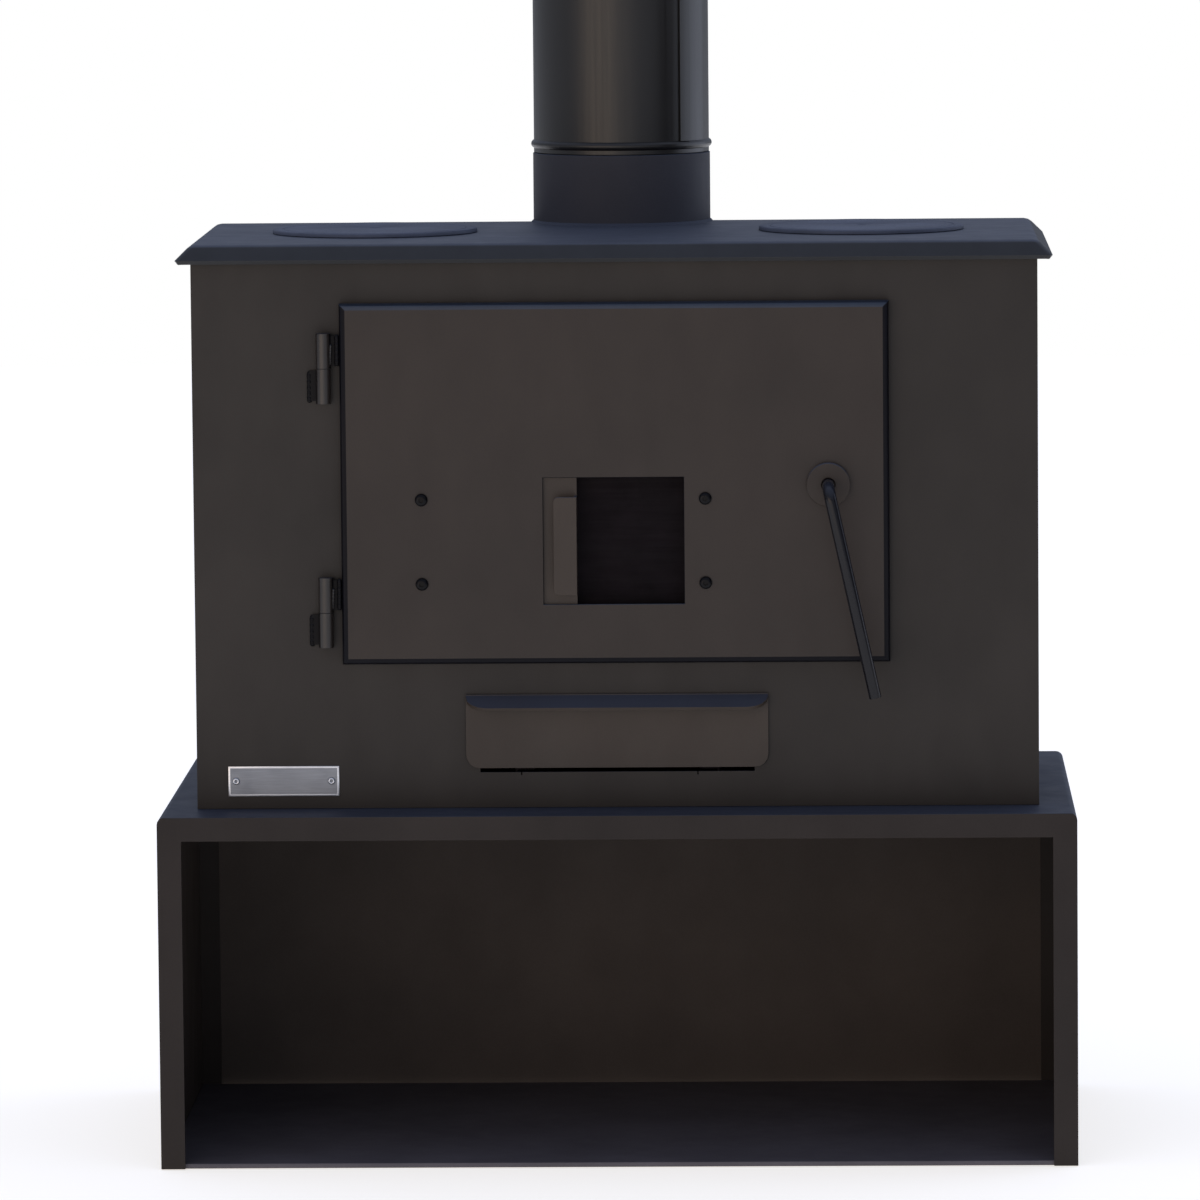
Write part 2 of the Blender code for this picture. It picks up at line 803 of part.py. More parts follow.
def baffle_plate():
    """The plate that rests on the bricks and sends the smoke forward before it leaves."""
    low = STAND_H + HEARTH_Z + HEARTH_T + 2 * GAP + BRICK_H
    side = BODY_W / 2 - BODY_T - RUNNING_GAP
    front = INNER_FRONT_Y + BAFFLE_FRONT_GAP
    rear = REAR_Y - BODY_T - GAP
    plate = block("baffle_plate", (-side, front, low), (side, rear, low + BAFFLE_T))
    return finish(plate, "dark_steel")


def grate():
    """The cast grate over the ash opening, with a row of slots."""
    low = STAND_H + HEARTH_Z + HEARTH_T + GAP
    plate = block("grate", (-GRATE_W / 2, -GRATE_D / 2, low), (GRATE_W / 2, GRATE_D / 2, low + GRATE_T))
    reach = GRATE_D / 2 - 2 * GRATE_LAP
    pitch = (GRATE_W - 4 * GRATE_LAP) / GRATE_SLOTS
    for index in range(GRATE_SLOTS):
        x = (index - (GRATE_SLOTS - 1) / 2) * pitch
        cutter = block(
            f"grate_slot_cutter_{index}",
            (x - GRATE_SLOT_W / 2, -reach, low - GRATE_T),
            (x + GRATE_SLOT_W / 2, reach, low + 2 * GRATE_T),
        )
        cut(plate, cutter)
    return finish(plate, "cast_iron")


def log_retainer():
    """The angle behind the door that keeps logs off it."""
    low = STAND_H + HEARTH_Z + HEARTH_T + GAP
    front = INNER_FRONT_Y + RETAINER_BEHIND_FRONT
    path = rounded([(front, low + RETAINER_H), (front, low), (front + RETAINER_FOOT, low)], RETAINER_FOLD_R)
    strip = folded("log_retainer", path, -RETAINER_W / 2, RETAINER_W / 2, RETAINER_T, "YZ", -1.0)
    return finish(strip, "dark_steel")


# ---------------------------------------------------------------------------------------------
# Ash drawer
# ---------------------------------------------------------------------------------------------


def ash_drawer_front():
    """The drawer's face plate, whose top edge is folded forward as a drooping pull lip."""
    low = STAND_H + DRAWER_FRONT_Z
    centre_z = low + DRAWER_FRONT_H / 2
    plate_y = FRONT_Y - GAP - DRAWER_T / 2
    radii = (DRAWER_CORNER_R, DRAWER_CORNER_R, 0, 0)
    outline = rounded_rectangle(DRAWER_FRONT_W, DRAWER_FRONT_H, radii)
    face = outline_plate("ash_drawer_front", outline, DRAWER_T, (0, plate_y, centre_z))
    lip_radii = (DRAWER_LIP_CORNER_R, DRAWER_LIP_CORNER_R, 0, 0)
    lip_outline = rounded_rectangle(DRAWER_FRONT_W, DRAWER_LIP, lip_radii)
    lip = outline_plate("ash_drawer_lip", lip_outline, DRAWER_T, (0, 0, 0), upright=False)
    lip.rotation_euler = (DRAWER_LIP_DROOP, 0, 0)
    reach = DRAWER_LIP / 2 - DRAWER_T / 4
    lip.location = (
        0,
        plate_y - reach * math.cos(DRAWER_LIP_DROOP),
        low + DRAWER_FRONT_H - DRAWER_T / 2 - reach * math.sin(DRAWER_LIP_DROOP),
    )
    join(face, lip)
    return finish(face, "stove_paint")


def ash_drawer_tray():
    """The open tray behind the drawer's face."""
    half = DRAWER_SLOT_W / 2 - TRAY_SIDE_GAP
    front = FRONT_Y
    low = STAND_H + DRAWER_FRONT_Z
    tray = open_pan(
        "ash_drawer_tray",
        (-half, front, low),
        (half, front + TRAY_LENGTH, low + TRAY_H),
        (0, 0, 1),
        TRAY_T,
        TRAY_T,
    )
    return finish(tray, "galvanised")


def ash_drawer_runner(name, sign):
    """A folded rail on the bottom plate that the tray slides on."""
    low = BASE_Z + BODY_T + GAP
    high = STAND_H + DRAWER_FRONT_Z - GAP
    web = sign * (DRAWER_SLOT_W / 2 - 2 * RUNNER_W)
    path = [
        (web + sign * RUNNER_W, low + RUNNER_T / 2),
        (web, low + RUNNER_T / 2),
        (web, high - RUNNER_T / 2),
        (web - sign * RUNNER_W, high - RUNNER_T / 2),
    ]
    front = INNER_FRONT_Y + 2 * GAP
    rail = folded(name, path, front, front + TRAY_LENGTH, RUNNER_T, "XZ", 0.0)
    return finish(rail, "dark_steel")


# ---------------------------------------------------------------------------------------------
# Door
# ---------------------------------------------------------------------------------------------


def bolt_places():
    """Where the four shield bolts go through the door: (index, x, z)."""
    places = [(x, STAND_H + z) for z in BOLT_Z for x in BOLT_X]
    return [(index + 1, x, z) for index, (x, z) in enumerate(places)]


def door_panel():
    """The door: a pan of folded sheet with the air window, four bolt holes and the spindle hole."""
    low = STAND_H + DOOR_Z
    panel = open_pan(
        "door_panel",
        (-DOOR_W / 2, DOOR_FRONT_Y, low),
        (DOOR_W / 2, DOOR_BACK_Y, low + DOOR_H),
        (0, 1, 0),
        DOOR_FOLD_R,
        DOOR_T,
        welded=True,
    )
    window_low = STAND_H + WINDOW_Z
    cut(
        panel,
        block(
            "window_cutter",
            (WINDOW_X - WINDOW_W / 2, DOOR_FRONT_Y - DOOR_T, window_low),
            (WINDOW_X + WINDOW_W / 2, DOOR_INNER_Y + DOOR_T, window_low + WINDOW_H),
        ),
    )
    for index, x, z in bolt_places():
        hole = rod(f"bolt_hole_cutter_{index}", BOLT_R + GAP, 4 * DOOR_T, (x, DOOR_FRONT_Y, z), "Y", 16)
        cut(panel, hole)
    spindle = (SPINDLE_X, DOOR_FRONT_Y, STAND_H + SPINDLE_Z)
    cut(panel, rod("spindle_hole_cutter", HANDLE_R + RUNNING_GAP, 4 * DOOR_T, spindle, "Y", 24))
    return finish(panel, "stove_paint")


def door_rope_seal():
    """The rope round the door's edge that meets the front plate."""
    width = MOUTH_W + 2 * SEAL_OUT
    height = MOUTH_H + 2 * SEAL_OUT
    centre_z = STAND_H + MOUTH_Z + MOUTH_H / 2
    y = (DOOR_INNER_Y + DOOR_BACK_Y) / 2
    outline = rounded_rectangle(width, height, (SEAL_CORNER_R,) * 4, 3)
    rope = bar("door_rope_seal", [(x, y, centre_z + z) for x, z in outline], SEAL_R, True, 2)
    return finish(rope, "rope")


def slide_levels():
    """The lower and upper edges of the air slide."""
    low = STAND_H + WINDOW_Z - SLIDE_LAP
    return low, low + WINDOW_H + 2 * SLIDE_LAP


def air_slide_plate():
    """The air slide, with a pull tab folded forward through the window and back to the left."""
    low, high = slide_levels()
    front = DOOR_INNER_Y + GAP
    plate = block(
        "air_slide_plate",
        (SLIDE_RIGHT - SLIDE_W, front, low),
        (SLIDE_RIGHT, front + SLIDE_T, high),
    )
    tab_low = STAND_H + WINDOW_Z + (WINDOW_H - TAB_H) / 2 - TAB_BELOW_MIDDLE
    face_y = DOOR_FRONT_Y - TAB_PROUD
    leg = block(
        "air_slide_tab_leg",
        (SLIDE_RIGHT - SLIDE_T, face_y + SLIDE_T / 2, tab_low),
        (SLIDE_RIGHT, front + SLIDE_T / 2, tab_low + TAB_H),
    )
    join(plate, leg)
    radii = (TAB_CORNER_R, 0, 0, TAB_CORNER_R)
    outline = rounded_rectangle(TAB_W, TAB_H, radii, 3)
    centre = (SLIDE_RIGHT - TAB_W / 2, face_y + SLIDE_T / 2, tab_low + TAB_H / 2)
    join(plate, outline_plate("air_slide_tab_face", outline, SLIDE_T, centre))
    return finish(plate, "stove_paint")


def air_slide_rail(name, upper):
    """An angle on the door's inner face that holds one edge of the air slide."""
    low, high = slide_levels()
    edge = high + GAP if upper else low - GAP
    out = 1 if upper else -1
    front = DOOR_INNER_Y + GAP
    lip_y = front + SLIDE_T + RUNNING_GAP
    path = [
        (front, edge + out * RAIL_T / 2),
        (lip_y + RAIL_T / 2, edge + out * RAIL_T / 2),
        (lip_y + RAIL_T / 2, edge - out * RAIL_LIP),
    ]
    reach = SPACER_R + RUNNING_GAP
    rail = folded(name, path, BOLT_X[0] + reach, BOLT_X[1] - reach, RAIL_T, "YZ", 0.0)
    return finish(rail, "dark_steel")


def shield_planes():
    """The front and back planes of the inner shield."""
    front = DOOR_INNER_Y + SHIELD_STANDOFF
    return front, front + SHIELD_T


def air_shield():
    """The plate behind the window that spreads the incoming air, on four spacers."""
    front, back = shield_planes()
    low, high = slide_levels()
    shield = block(
        "air_shield",
        (BOLT_X[0] - SHIELD_MARGIN, front, low - SLIDE_LAP),
        (BOLT_X[1] + SHIELD_MARGIN, back, high + SLIDE_LAP),
    )
    for index, x, z in bolt_places():
        cut(shield, rod(f"shield_hole_cutter_{index}", BOLT_R + GAP, 4 * SHIELD_T, (x, front, z), "Y", 16))
    return finish(shield, "dark_steel")


def shield_fixings():
    """A button-head bolt, a spacer and a nut at each corner of the shield."""
    front, back = shield_planes()
    made = []
    for index, x, z in bolt_places():
        head = DOOR_FRONT_Y - GAP
        length = back + NUT_T + 2 * GAP - head
        socket = BOLT_HEAD_R * 0.32
        profile = [
            (0.0, BOLT_HEAD_H * 0.45),
            (socket, BOLT_HEAD_H * 0.45),
            (socket, BOLT_HEAD_H),
            (BOLT_HEAD_R * 0.66, BOLT_HEAD_H * 0.88),
            (BOLT_HEAD_R * 0.92, BOLT_HEAD_H * 0.50),
            (BOLT_HEAD_R, 0.0),
            (BOLT_R, 0.0),
            (BOLT_R, -length),
            (0.0, -length),
        ]
        bolt = turned(f"air_shield_bolt_{index}", profile, (x, head, z), 16, "FRONT")
        made.append(finish(bolt, "dark_steel"))
        spacer_profile = ring_profile(SPACER_R, BOLT_R + GAP, DOOR_INNER_Y + GAP, front - GAP)
        spacer = turned(f"air_shield_spacer_{index}", flipped(spacer_profile), (x, 0, z), 16, "FRONT")
        made.append(finish(spacer, "dark_steel"))
        name = f"air_shield_nut_{index}"
        nut = hex_nut(name, NUT_R, BOLT_R + GAP, back + GAP, back + GAP + NUT_T, x, z)
        made.append(finish(nut, "dark_steel"))
    return made


def flipped(profile):
    """Turns a profile given along +Y into one for a piece whose axis faces the front."""
    return [(radius, -height) for radius, height in reversed(profile)]


# ---------------------------------------------------------------------------------------------
# Handle and latch
# ---------------------------------------------------------------------------------------------


def spindle_planes():
    """Along the spindle: the bush's end, the cam's two faces and the spindle's inner end."""
    cam_front = INNER_FRONT_Y + KEEPER_T + 3 * GAP
    cam_back = cam_front + CAM_T
    return cam_front - GAP, cam_front, cam_back, cam_back + 2 * GAP + SPINDLE_NUT_T


def spindle_ring(name, outer, low, high, sides, material):
    """A ring on the spindle between two planes."""
    profile = flipped(ring_profile(outer, HANDLE_R + GAP, low, high))
    ring = turned(name, profile, (SPINDLE_X, 0, STAND_H + SPINDLE_Z), sides, "FRONT")
    return finish(ring, material)


def door_handle():
    """One round bar: the spindle through the door, a bend, and the grip that hangs down."""
    z = STAND_H + SPINDLE_Z
    outer_y = DOOR_FRONT_Y - HANDLE_STANDOFF
    inner_y = spindle_planes()[3]
    run = rounded([(inner_y, 0.0), (outer_y, 0.0), (outer_y, HANDLE_REACH)], HANDLE_BEND_R, 5)
    lean_x = math.sin(HANDLE_LEAN)
    lean_z = -math.cos(HANDLE_LEAN)
    points = [(SPINDLE_X + down * lean_x, y, z + down * lean_z) for y, down in run]
    handle = bar("door_handle", points, HANDLE_R, False, 4)
    return finish(handle, "stove_paint")


def latch_cam():
    """The cam on the spindle, shown clear of the keeper; a clockwise turn brings it behind."""
    _, front, back, _ = spindle_planes()
    half = CAM_W / 2
    outline = [(0.0, -half)]
    trim = CAM_REACH - CAM_CORNER
    outline += [(trim, -half), (CAM_REACH, CAM_CORNER - half)]
    outline += [(CAM_REACH, half - CAM_CORNER), (trim, half), (0.0, half)]
    for step in range(1, 8):
        angle = math.pi / 2 + math.pi * step / 8
        outline.append((half * math.cos(angle), half * math.sin(angle)))
    turn = CAM_REST
    turned_outline = [
        (a * math.cos(turn) - b * math.sin(turn), a * math.sin(turn) + b * math.cos(turn)) for a, b in outline
    ]
    place = (SPINDLE_X, (front + back) / 2, STAND_H + SPINDLE_Z)
    cam = outline_plate("latch_cam", turned_outline, back - front, place)
    cut(cam, rod("cam_hole_cutter", HANDLE_R + GAP, 4 * CAM_T, place, "Y", 24))
    return finish(cam, "dark_steel")


def latch():
    """The boss, bush, cam and nut on the spindle, and the keeper behind the front plate."""
    bush_end, _, cam_back, inner = spindle_planes()
    boss_back = DOOR_FRONT_Y - GAP
    spindle_ring("handle_boss", BOSS_R, boss_back - BOSS_T, boss_back, 40, "stove_paint")
    spindle_ring("spindle_bush", BUSH_R, DOOR_INNER_Y + GAP, bush_end, 24, "dark_steel")
    z = STAND_H + SPINDLE_Z
    nut = hex_nut("spindle_nut", SPINDLE_NUT_R, HANDLE_R + GAP, cam_back + GAP, inner, SPINDLE_X, z)
    finish(nut, "dark_steel")
    latch_cam()
    low = STAND_H + SPINDLE_Z - KEEPER_H / 2
    left = MOUTH_W / 2 + GAP
    back = INNER_FRONT_Y + GAP
    keeper = block("latch_keeper", (left, back, low), (left + KEEPER_W, back + KEEPER_T, low + KEEPER_H))
    finish(keeper, "dark_steel")


# ---------------------------------------------------------------------------------------------
# Hinges
# ---------------------------------------------------------------------------------------------


def hinge(name, split):
    """A lift-off hinge: the lower half and its pin stay on the body, the upper half is on the door."""
    z = STAND_H + split
    bore = HINGE_PIN_R + GAP
    low = -HINGE_HALF - GAP / 2
    body_half = turned(
        f"hinge_{name}_body_knuckle",
        [
            (HINGE_R, -GAP / 2),
            (HINGE_R, low),
            (0.0, low),
            (0.0, low + HINGE_FOOT),
            (bore, low + HINGE_FOOT),
            (bore, -GAP / 2),
        ],
        (HINGE_X, HINGE_Y, z),
        24,
    )
    leaf = block(
        f"hinge_{name}_leaf",
        (HINGE_X - LEAF_W, FRONT_Y - GAP - LEAF_T, z - LEAF_OFFSET - LEAF_H),
        (HINGE_X - HINGE_R * 0.75, FRONT_Y - GAP, z - LEAF_OFFSET),
    )
    join(body_half, leaf)
    finish(body_half, "stove_paint")
    high = HINGE_HALF + GAP / 2
    door_half = turned(
        f"hinge_{name}_door_knuckle",
        [
            (0.0, high),
            (HINGE_R, high),
            (HINGE_R, GAP / 2),
            (bore, GAP / 2),
            (bore, high - HINGE_CAP),
            (0.0, high - HINGE_CAP),
        ],
        (HINGE_X, HINGE_Y, z),
        24,
    )
    lug_y = HINGE_Y + LUG_BEHIND_PIN
    lug = block(
        f"hinge_{name}_lug",
        (HINGE_X + HINGE_R * 0.75, lug_y - LUG_T / 2, z + LEAF_OFFSET),
        (-DOOR_W / 2 - GAP, lug_y + LUG_T / 2, z + LEAF_OFFSET + LEAF_H),
    )
    join(door_half, lug)
    finish(door_half, "stove_paint")
    pin_low = low + HINGE_FOOT + GAP
    pin_high = high - HINGE_CAP - HINGE_PIN_END_GAP
    centre = (HINGE_X, HINGE_Y, z + (pin_low + pin_high) / 2)
    pin = rod(f"hinge_{name}_pin", HINGE_PIN_R, pin_high - pin_low, centre, "Z", 16)
    finish(pin, "dark_steel")


# ---------------------------------------------------------------------------------------------
# Badge
# ---------------------------------------------------------------------------------------------


def rivet_places():
    """Where the badge's two rivets go."""
    reach = BADGE_W / 2 - RIVET_INSET
    return BADGE_X - reach, BADGE_X + reach


def badge():
    """A plain metal plate with a rivet at each end."""
    z = STAND_H + BADGE_Z
    outline = rounded_rectangle(BADGE_W, BADGE_H, (BADGE_CORNER_R,) * 4, 2)
    centre_y = FRONT_Y - GAP - BADGE_T / 2
    plate = outline_plate("badge_plate", outline, BADGE_T, (BADGE_X, centre_y, z))
    for side, x in zip(("left", "right"), rivet_places()):
        hole_r = RIVET_SHANK_R + GAP
        cut(plate, rod(f"badge_hole_cutter_{side}", hole_r, 6 * BADGE_T, (x, centre_y, z), "Y", 12))
        length = BODY_T + BADGE_T + RIVET_PAST_BACK
        profile = [
            (0.0, RIVET_HEAD_H),
            (RIVET_R * 0.55, RIVET_HEAD_H * 0.85),
            (RIVET_R * 0.9, RIVET_HEAD_H * 0.45),
            (RIVET_R, 0.0),
            (RIVET_SHANK_R, 0.0),
            (RIVET_SHANK_R, -length),
            (0.0, -length),
        ]
        place = (x, FRONT_Y - BADGE_T - 2 * GAP, z)
        rivet = turned(f"badge_rivet_{side}", profile, place, 12, "FRONT")
        finish(rivet, "badge_metal")
    finish(plate, "badge_metal")


def main():
    """Builds every piece in its place."""
    clear_scene()
    stand_shell()
    stand_back_panel()
    stand_floor()
    body_front_panel()
    body_side("body_side_left", -1)
    body_side("body_side_right", 1)
    body_back_panel()
    body_floor()
    hearth_plate()
    top_plate()
    hob_disc("hob_disc_left", -1)
    hob_disc("hob_disc_right", 1)
    flue_box()
    flue_spigot()
    flue_pipe()
    firebricks()
    baffle_plate()
    grate()
    log_retainer()
    ash_drawer_front()
    ash_drawer_tray()
    ash_drawer_runner("ash_drawer_runner_left", -1)
    ash_drawer_runner("ash_drawer_runner_right", 1)
    door_panel()
    door_rope_seal()
    air_slide_plate()
    air_slide_rail("air_slide_rail_upper", True)
    air_slide_rail("air_slide_rail_lower", False)
    air_shield()
    shield_fixings()
    latch()
    door_handle()
    hinge("upper", HINGE_SPLIT[1])
    hinge("lower", HINGE_SPLIT[0])
    badge()


main()
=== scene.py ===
"""The looks of a wood burning stove on a log store stand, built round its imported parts.

Laid out as a Blender add-on: the settings hold what a user would change, each operator finishes one piece
or one group of like pieces, and main() calls them in order.
"""

import json
import math

import bmesh
import bpy
from mathutils import Matrix, Vector

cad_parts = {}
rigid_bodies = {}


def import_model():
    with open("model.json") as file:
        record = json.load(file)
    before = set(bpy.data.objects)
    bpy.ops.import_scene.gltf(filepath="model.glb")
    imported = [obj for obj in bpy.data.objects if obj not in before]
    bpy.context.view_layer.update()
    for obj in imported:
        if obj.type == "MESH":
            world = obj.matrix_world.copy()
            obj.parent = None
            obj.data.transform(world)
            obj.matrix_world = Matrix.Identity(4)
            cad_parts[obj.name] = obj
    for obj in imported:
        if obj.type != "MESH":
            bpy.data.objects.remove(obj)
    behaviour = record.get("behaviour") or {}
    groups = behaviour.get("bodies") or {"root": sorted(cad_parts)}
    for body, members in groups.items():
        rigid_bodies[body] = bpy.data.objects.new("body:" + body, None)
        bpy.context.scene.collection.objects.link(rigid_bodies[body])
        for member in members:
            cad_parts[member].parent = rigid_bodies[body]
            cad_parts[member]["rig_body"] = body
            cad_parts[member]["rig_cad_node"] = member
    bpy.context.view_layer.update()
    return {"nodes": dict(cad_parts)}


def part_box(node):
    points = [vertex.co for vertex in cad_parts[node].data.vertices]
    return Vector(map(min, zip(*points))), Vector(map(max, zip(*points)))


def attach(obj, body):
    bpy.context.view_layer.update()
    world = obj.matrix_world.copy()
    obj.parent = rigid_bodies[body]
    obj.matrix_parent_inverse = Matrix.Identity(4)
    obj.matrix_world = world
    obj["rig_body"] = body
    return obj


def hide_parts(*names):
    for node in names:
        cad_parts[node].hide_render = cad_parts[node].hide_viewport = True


bl_info = {
    "name": "Wood Burning Stove Looks",
    "version": (1, 0, 0),
    "blender": (4, 5, 0),
    "location": "View3D > Sidebar > Stove",
    "description": "Finishes the packed parts of a wood burning stove and sets its stage",
    "category": "Object",
}

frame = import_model()

# Sizes in metres
FLOOR_CLEARANCE = 0.0005
FLOOR_R = 9.0
STIPPLE_HEIGHT = 0.00004
WORN_EDGE = 0.0012
FITTING_EDGE = 0.0004
INSIDE_DEPTH = 0.0022
TOP_FOLD = 0.0028
ON_PLANE = 0.0001

DISC_T = 0.0035
DISC_RING_R = 0.0745
DISC_WALL = 0.004
DISC_GROOVE_IN = 0.0100
LIFT_HOLE_R = 0.0040
LIFT_HOLE_DEPTH = 0.0020

PIPE_R = 0.0754
PIPE_WALL = 0.0016
PIPE_LIP = 0.0005
PIPE_STEPS = 160
RIM_GAP = 0.0003
SLEEVE_R = 0.0724
BEAD_PROUD = 0.0024
BEAD_LOW = 0.0042
BEAD_HIGH = 0.0105
BEAD_BLEND = 0.0004
SPIGOT_WALL = 0.003
WELD_STEPS = 288
RIPPLE_DEPTH = 0.0004

SEAL_CORNER_R = 0.012
BOLT_HEAD_H = 0.0033
BOLT_SHANK_R = 0.003
BOLT_POINT = 0.0008
BAR_R = 0.0051
BAR_LEAN = math.radians(12.3)
BAR_BEND = 0.012
BAR_END_EDGE = 0.0005
BOSS_HOLE_R = 0.0054
BOSS_EDGE = 0.0007

BARREL_R = 0.0062
LEAF_LENGTH = 0.0265
LEAF_WELD_INSET = 0.0040
LEAF_WELD_R = 0.0021

BADGE_EDGE = 0.0002
BADGE_BORDER = 0.0014
BADGE_SUNK = 0.00030
BADGE_FIELD_AREA = 0.001
RIVET_HEAD_H = 0.0013
RIVET_SHANK_R = 0.0016


# ---------------------------------------------------------------------------------------------
# Colours and nodes
# ---------------------------------------------------------------------------------------------


def linear(code):
    """The linear RGB of an sRGB hex colour."""
    values = [int(code[i : i + 2], 16) / 255 for i in (1, 3, 5)]
    return tuple(v / 12.92 if v <= 0.04045 else ((v + 0.055) / 1.055) ** 2.4 for v in values)


def put(tree, kind, sockets=None, **settings):
    """Adds a node with its settings. A socket, by name or number, takes a value or another node's output."""
    node = tree.nodes.new(kind)
    for key, value in settings.items():
        setattr(node, key, value)
    for key, value in (sockets or {}).items():
        if isinstance(value, bpy.types.NodeSocket):
            tree.links.new(value, node.inputs[key])
        else:
            node.inputs[key].default_value = value
    return node


def new_material(name):
    """An empty material and the tree that it is drawn in, with its output."""
    material = bpy.data.materials.new(name)
    material.use_nodes = True
    tree = material.node_tree
    tree.nodes.clear()
    return material, tree, put(tree, "ShaderNodeOutputMaterial")


def object_points(tree, scale=(1.0, 1.0, 1.0)):
    """Places on the object in metres, stretched by a Mapping node."""
    coordinates = put(tree, "ShaderNodeTexCoord")
    mapping = put(tree, "ShaderNodeMapping", {"Vector": coordinates.outputs["Object"], "Scale": scale})
    return mapping.outputs["Vector"]


def ramp(tree, value, low, high, start=0.3, stop=0.7):
    """A value taken from one span to another."""
    span = {"Value": value, "From Min": start, "From Max": stop, "To Min": low, "To Max": high}
    return put(tree, "ShaderNodeMapRange", span).outputs["Result"]


def noise(tree, points, scale, detail, roughness=0.5):
    """Cloudy noise between 0 and 1."""
    sockets = {"Vector": points, "Scale": scale, "Detail": detail, "Roughness": roughness}
    return put(tree, "ShaderNodeTexNoise", sockets).outputs["Fac"]


def cells(tree, points, scale):
    """A random cell pattern."""
    return put(tree, "ShaderNodeTexVoronoi", {"Vector": points, "Scale": scale, "Randomness": 1.0})


def combined(tree, operation, *values):
    """A Math node on up to three values."""
    return put(tree, "ShaderNodeMath", dict(enumerate(values)), operation=operation).outputs["Value"]


def toned(tree, colour, tone):
    """A colour made lighter or darker by a tone near 1."""
    return put(tree, "ShaderNodeVectorMath", {0: colour, "Scale": tone}, operation="SCALE").outputs["Vector"]


def mixed(tree, amount, first, second):
    """A colour between two others."""
    return put(tree, "ShaderNodeMix", {0: amount, 6: first, 7: second}, data_type="RGBA").outputs[2]


def relief(tree, height, distance):
    """The normal of a surface with a fine relief, in metres."""
    sockets = {"Height": height, "Distance": distance, "Strength": 1.0}
    return put(tree, "ShaderNodeBump", sockets).outputs["Normal"]


def surface(tree, output, sockets):
    """Ends the material in a Principled BSDF."""
    shader = put(tree, "ShaderNodeBsdfPrincipled", sockets)
    tree.links.new(shader.outputs["BSDF"], output.inputs["Surface"])


def sprayed_paint(
    name, colour, worn_colour, dust_colour, roughness, specular, wear=0.12, dust=0.8, level=0.2
):
    """High-temperature silicone paint, sprayed matt over mild steel.

    It gives a dull face with faint cloudy patches, a fine stipple, long soft wipe marks, thin paint that
    shows paler along the edges, and a painted sky light: a blue-grey tint on whatever faces up, standing in
    for the light from above. The stipple is really 0.3 mm; it is drawn at 1.5 mm so that it shows.
    """
    material, tree, output = new_material(name)
    points = object_points(tree)
    clouds = noise(tree, points, 9.0, 4.0, 0.55)
    wipes = noise(tree, object_points(tree, (1.0, 1.0, 0.35)), 40.0, 5.0, 0.6)
    grain = noise(tree, points, 650.0, 3.0, 0.6)
    tone = ramp(tree, clouds, 0.86, 1.14)
    base = toned(tree, colour, combined(tree, "MULTIPLY", tone, ramp(tree, grain, 0.94, 1.06)))
    round_edge = put(tree, "ShaderNodeBevel", {"Radius": WORN_EDGE}, samples=4)
    face = put(tree, "ShaderNodeNewGeometry")
    normals = {0: round_edge.outputs["Normal"], 1: face.outputs["Normal"]}
    turn = put(tree, "ShaderNodeVectorMath", normals, operation="DOT_PRODUCT")
    edge = ramp(tree, turn.outputs["Value"], 0.0, wear, 0.985, 0.90)
    painted = mixed(tree, combined(tree, "MULTIPLY", edge, wipes), base, (*worn_colour, 1.0))
    # Painted sky light: a blue-grey tint mixed in as the face turns up, standing in for the light from above.
    up = put(tree, "ShaderNodeSeparateXYZ", {0: face.outputs["Normal"]})
    painted_sky_mask = ramp(tree, up.outputs["Z"], 0.0, dust, level, 0.65 + level * 0.33)
    dusty = mixed(tree, combined(tree, "MULTIPLY", painted_sky_mask, tone), painted, (*dust_colour, 1.0))
    sockets = {
        "Base Color": dusty,
        "Roughness": ramp(tree, wipes, roughness - 0.05, roughness + 0.05),
        "IOR": 1.5,
        "Specular IOR Level": specular,
        "Normal": relief(tree, grain, STIPPLE_HEIGHT),
    }
    surface(tree, output, sockets)
    return material


def satin_flue_enamel(name, colour, roughness):
    """Black satin flue enamel on rolled sheet: a soft sheen with faint lines drawn along the tube."""
    material, tree, output = new_material(name)
    points = object_points(tree)
    lines = noise(tree, object_points(tree, (1.0, 1.0, 0.02)), 260.0, 3.0)
    clouds = noise(tree, points, 14.0, 4.0)
    grain = noise(tree, points, 700.0, 2.0)
    sockets = {
        "Base Color": toned(tree, colour, ramp(tree, clouds, 0.85, 1.15)),
        "Roughness": ramp(tree, lines, roughness - 0.04, roughness + 0.04),
        "IOR": 1.5,
        "Normal": relief(tree, combined(tree, "MULTIPLY_ADD", lines, 0.5, grain), 0.00003),
    }
    surface(tree, output, sockets)
    return material


def blacked_cast_iron(name, colour, roughness):
    """Sand-cast iron rubbed with stove black: pitted by the sand at about 1 mm, with duller hollows."""
    material, tree, output = new_material(name)
    points = object_points(tree)
    sand = noise(tree, points, 420.0, 5.0, 0.65)
    pits = cells(tree, points, 260.0)
    clouds = noise(tree, points, 18.0, 4.0, 0.6)
    height = combined(tree, "MULTIPLY_ADD", pits.outputs["Distance"], 0.4, sand)
    sockets = {
        "Base Color": toned(tree, colour, ramp(tree, clouds, 0.75, 1.25)),
        "Roughness": ramp(tree, sand, roughness + 0.08, roughness - 0.08),
        "Specular IOR Level": 0.4,
        "Normal": relief(tree, height, 0.00012),
    }
    surface(tree, output, sockets)
    return material


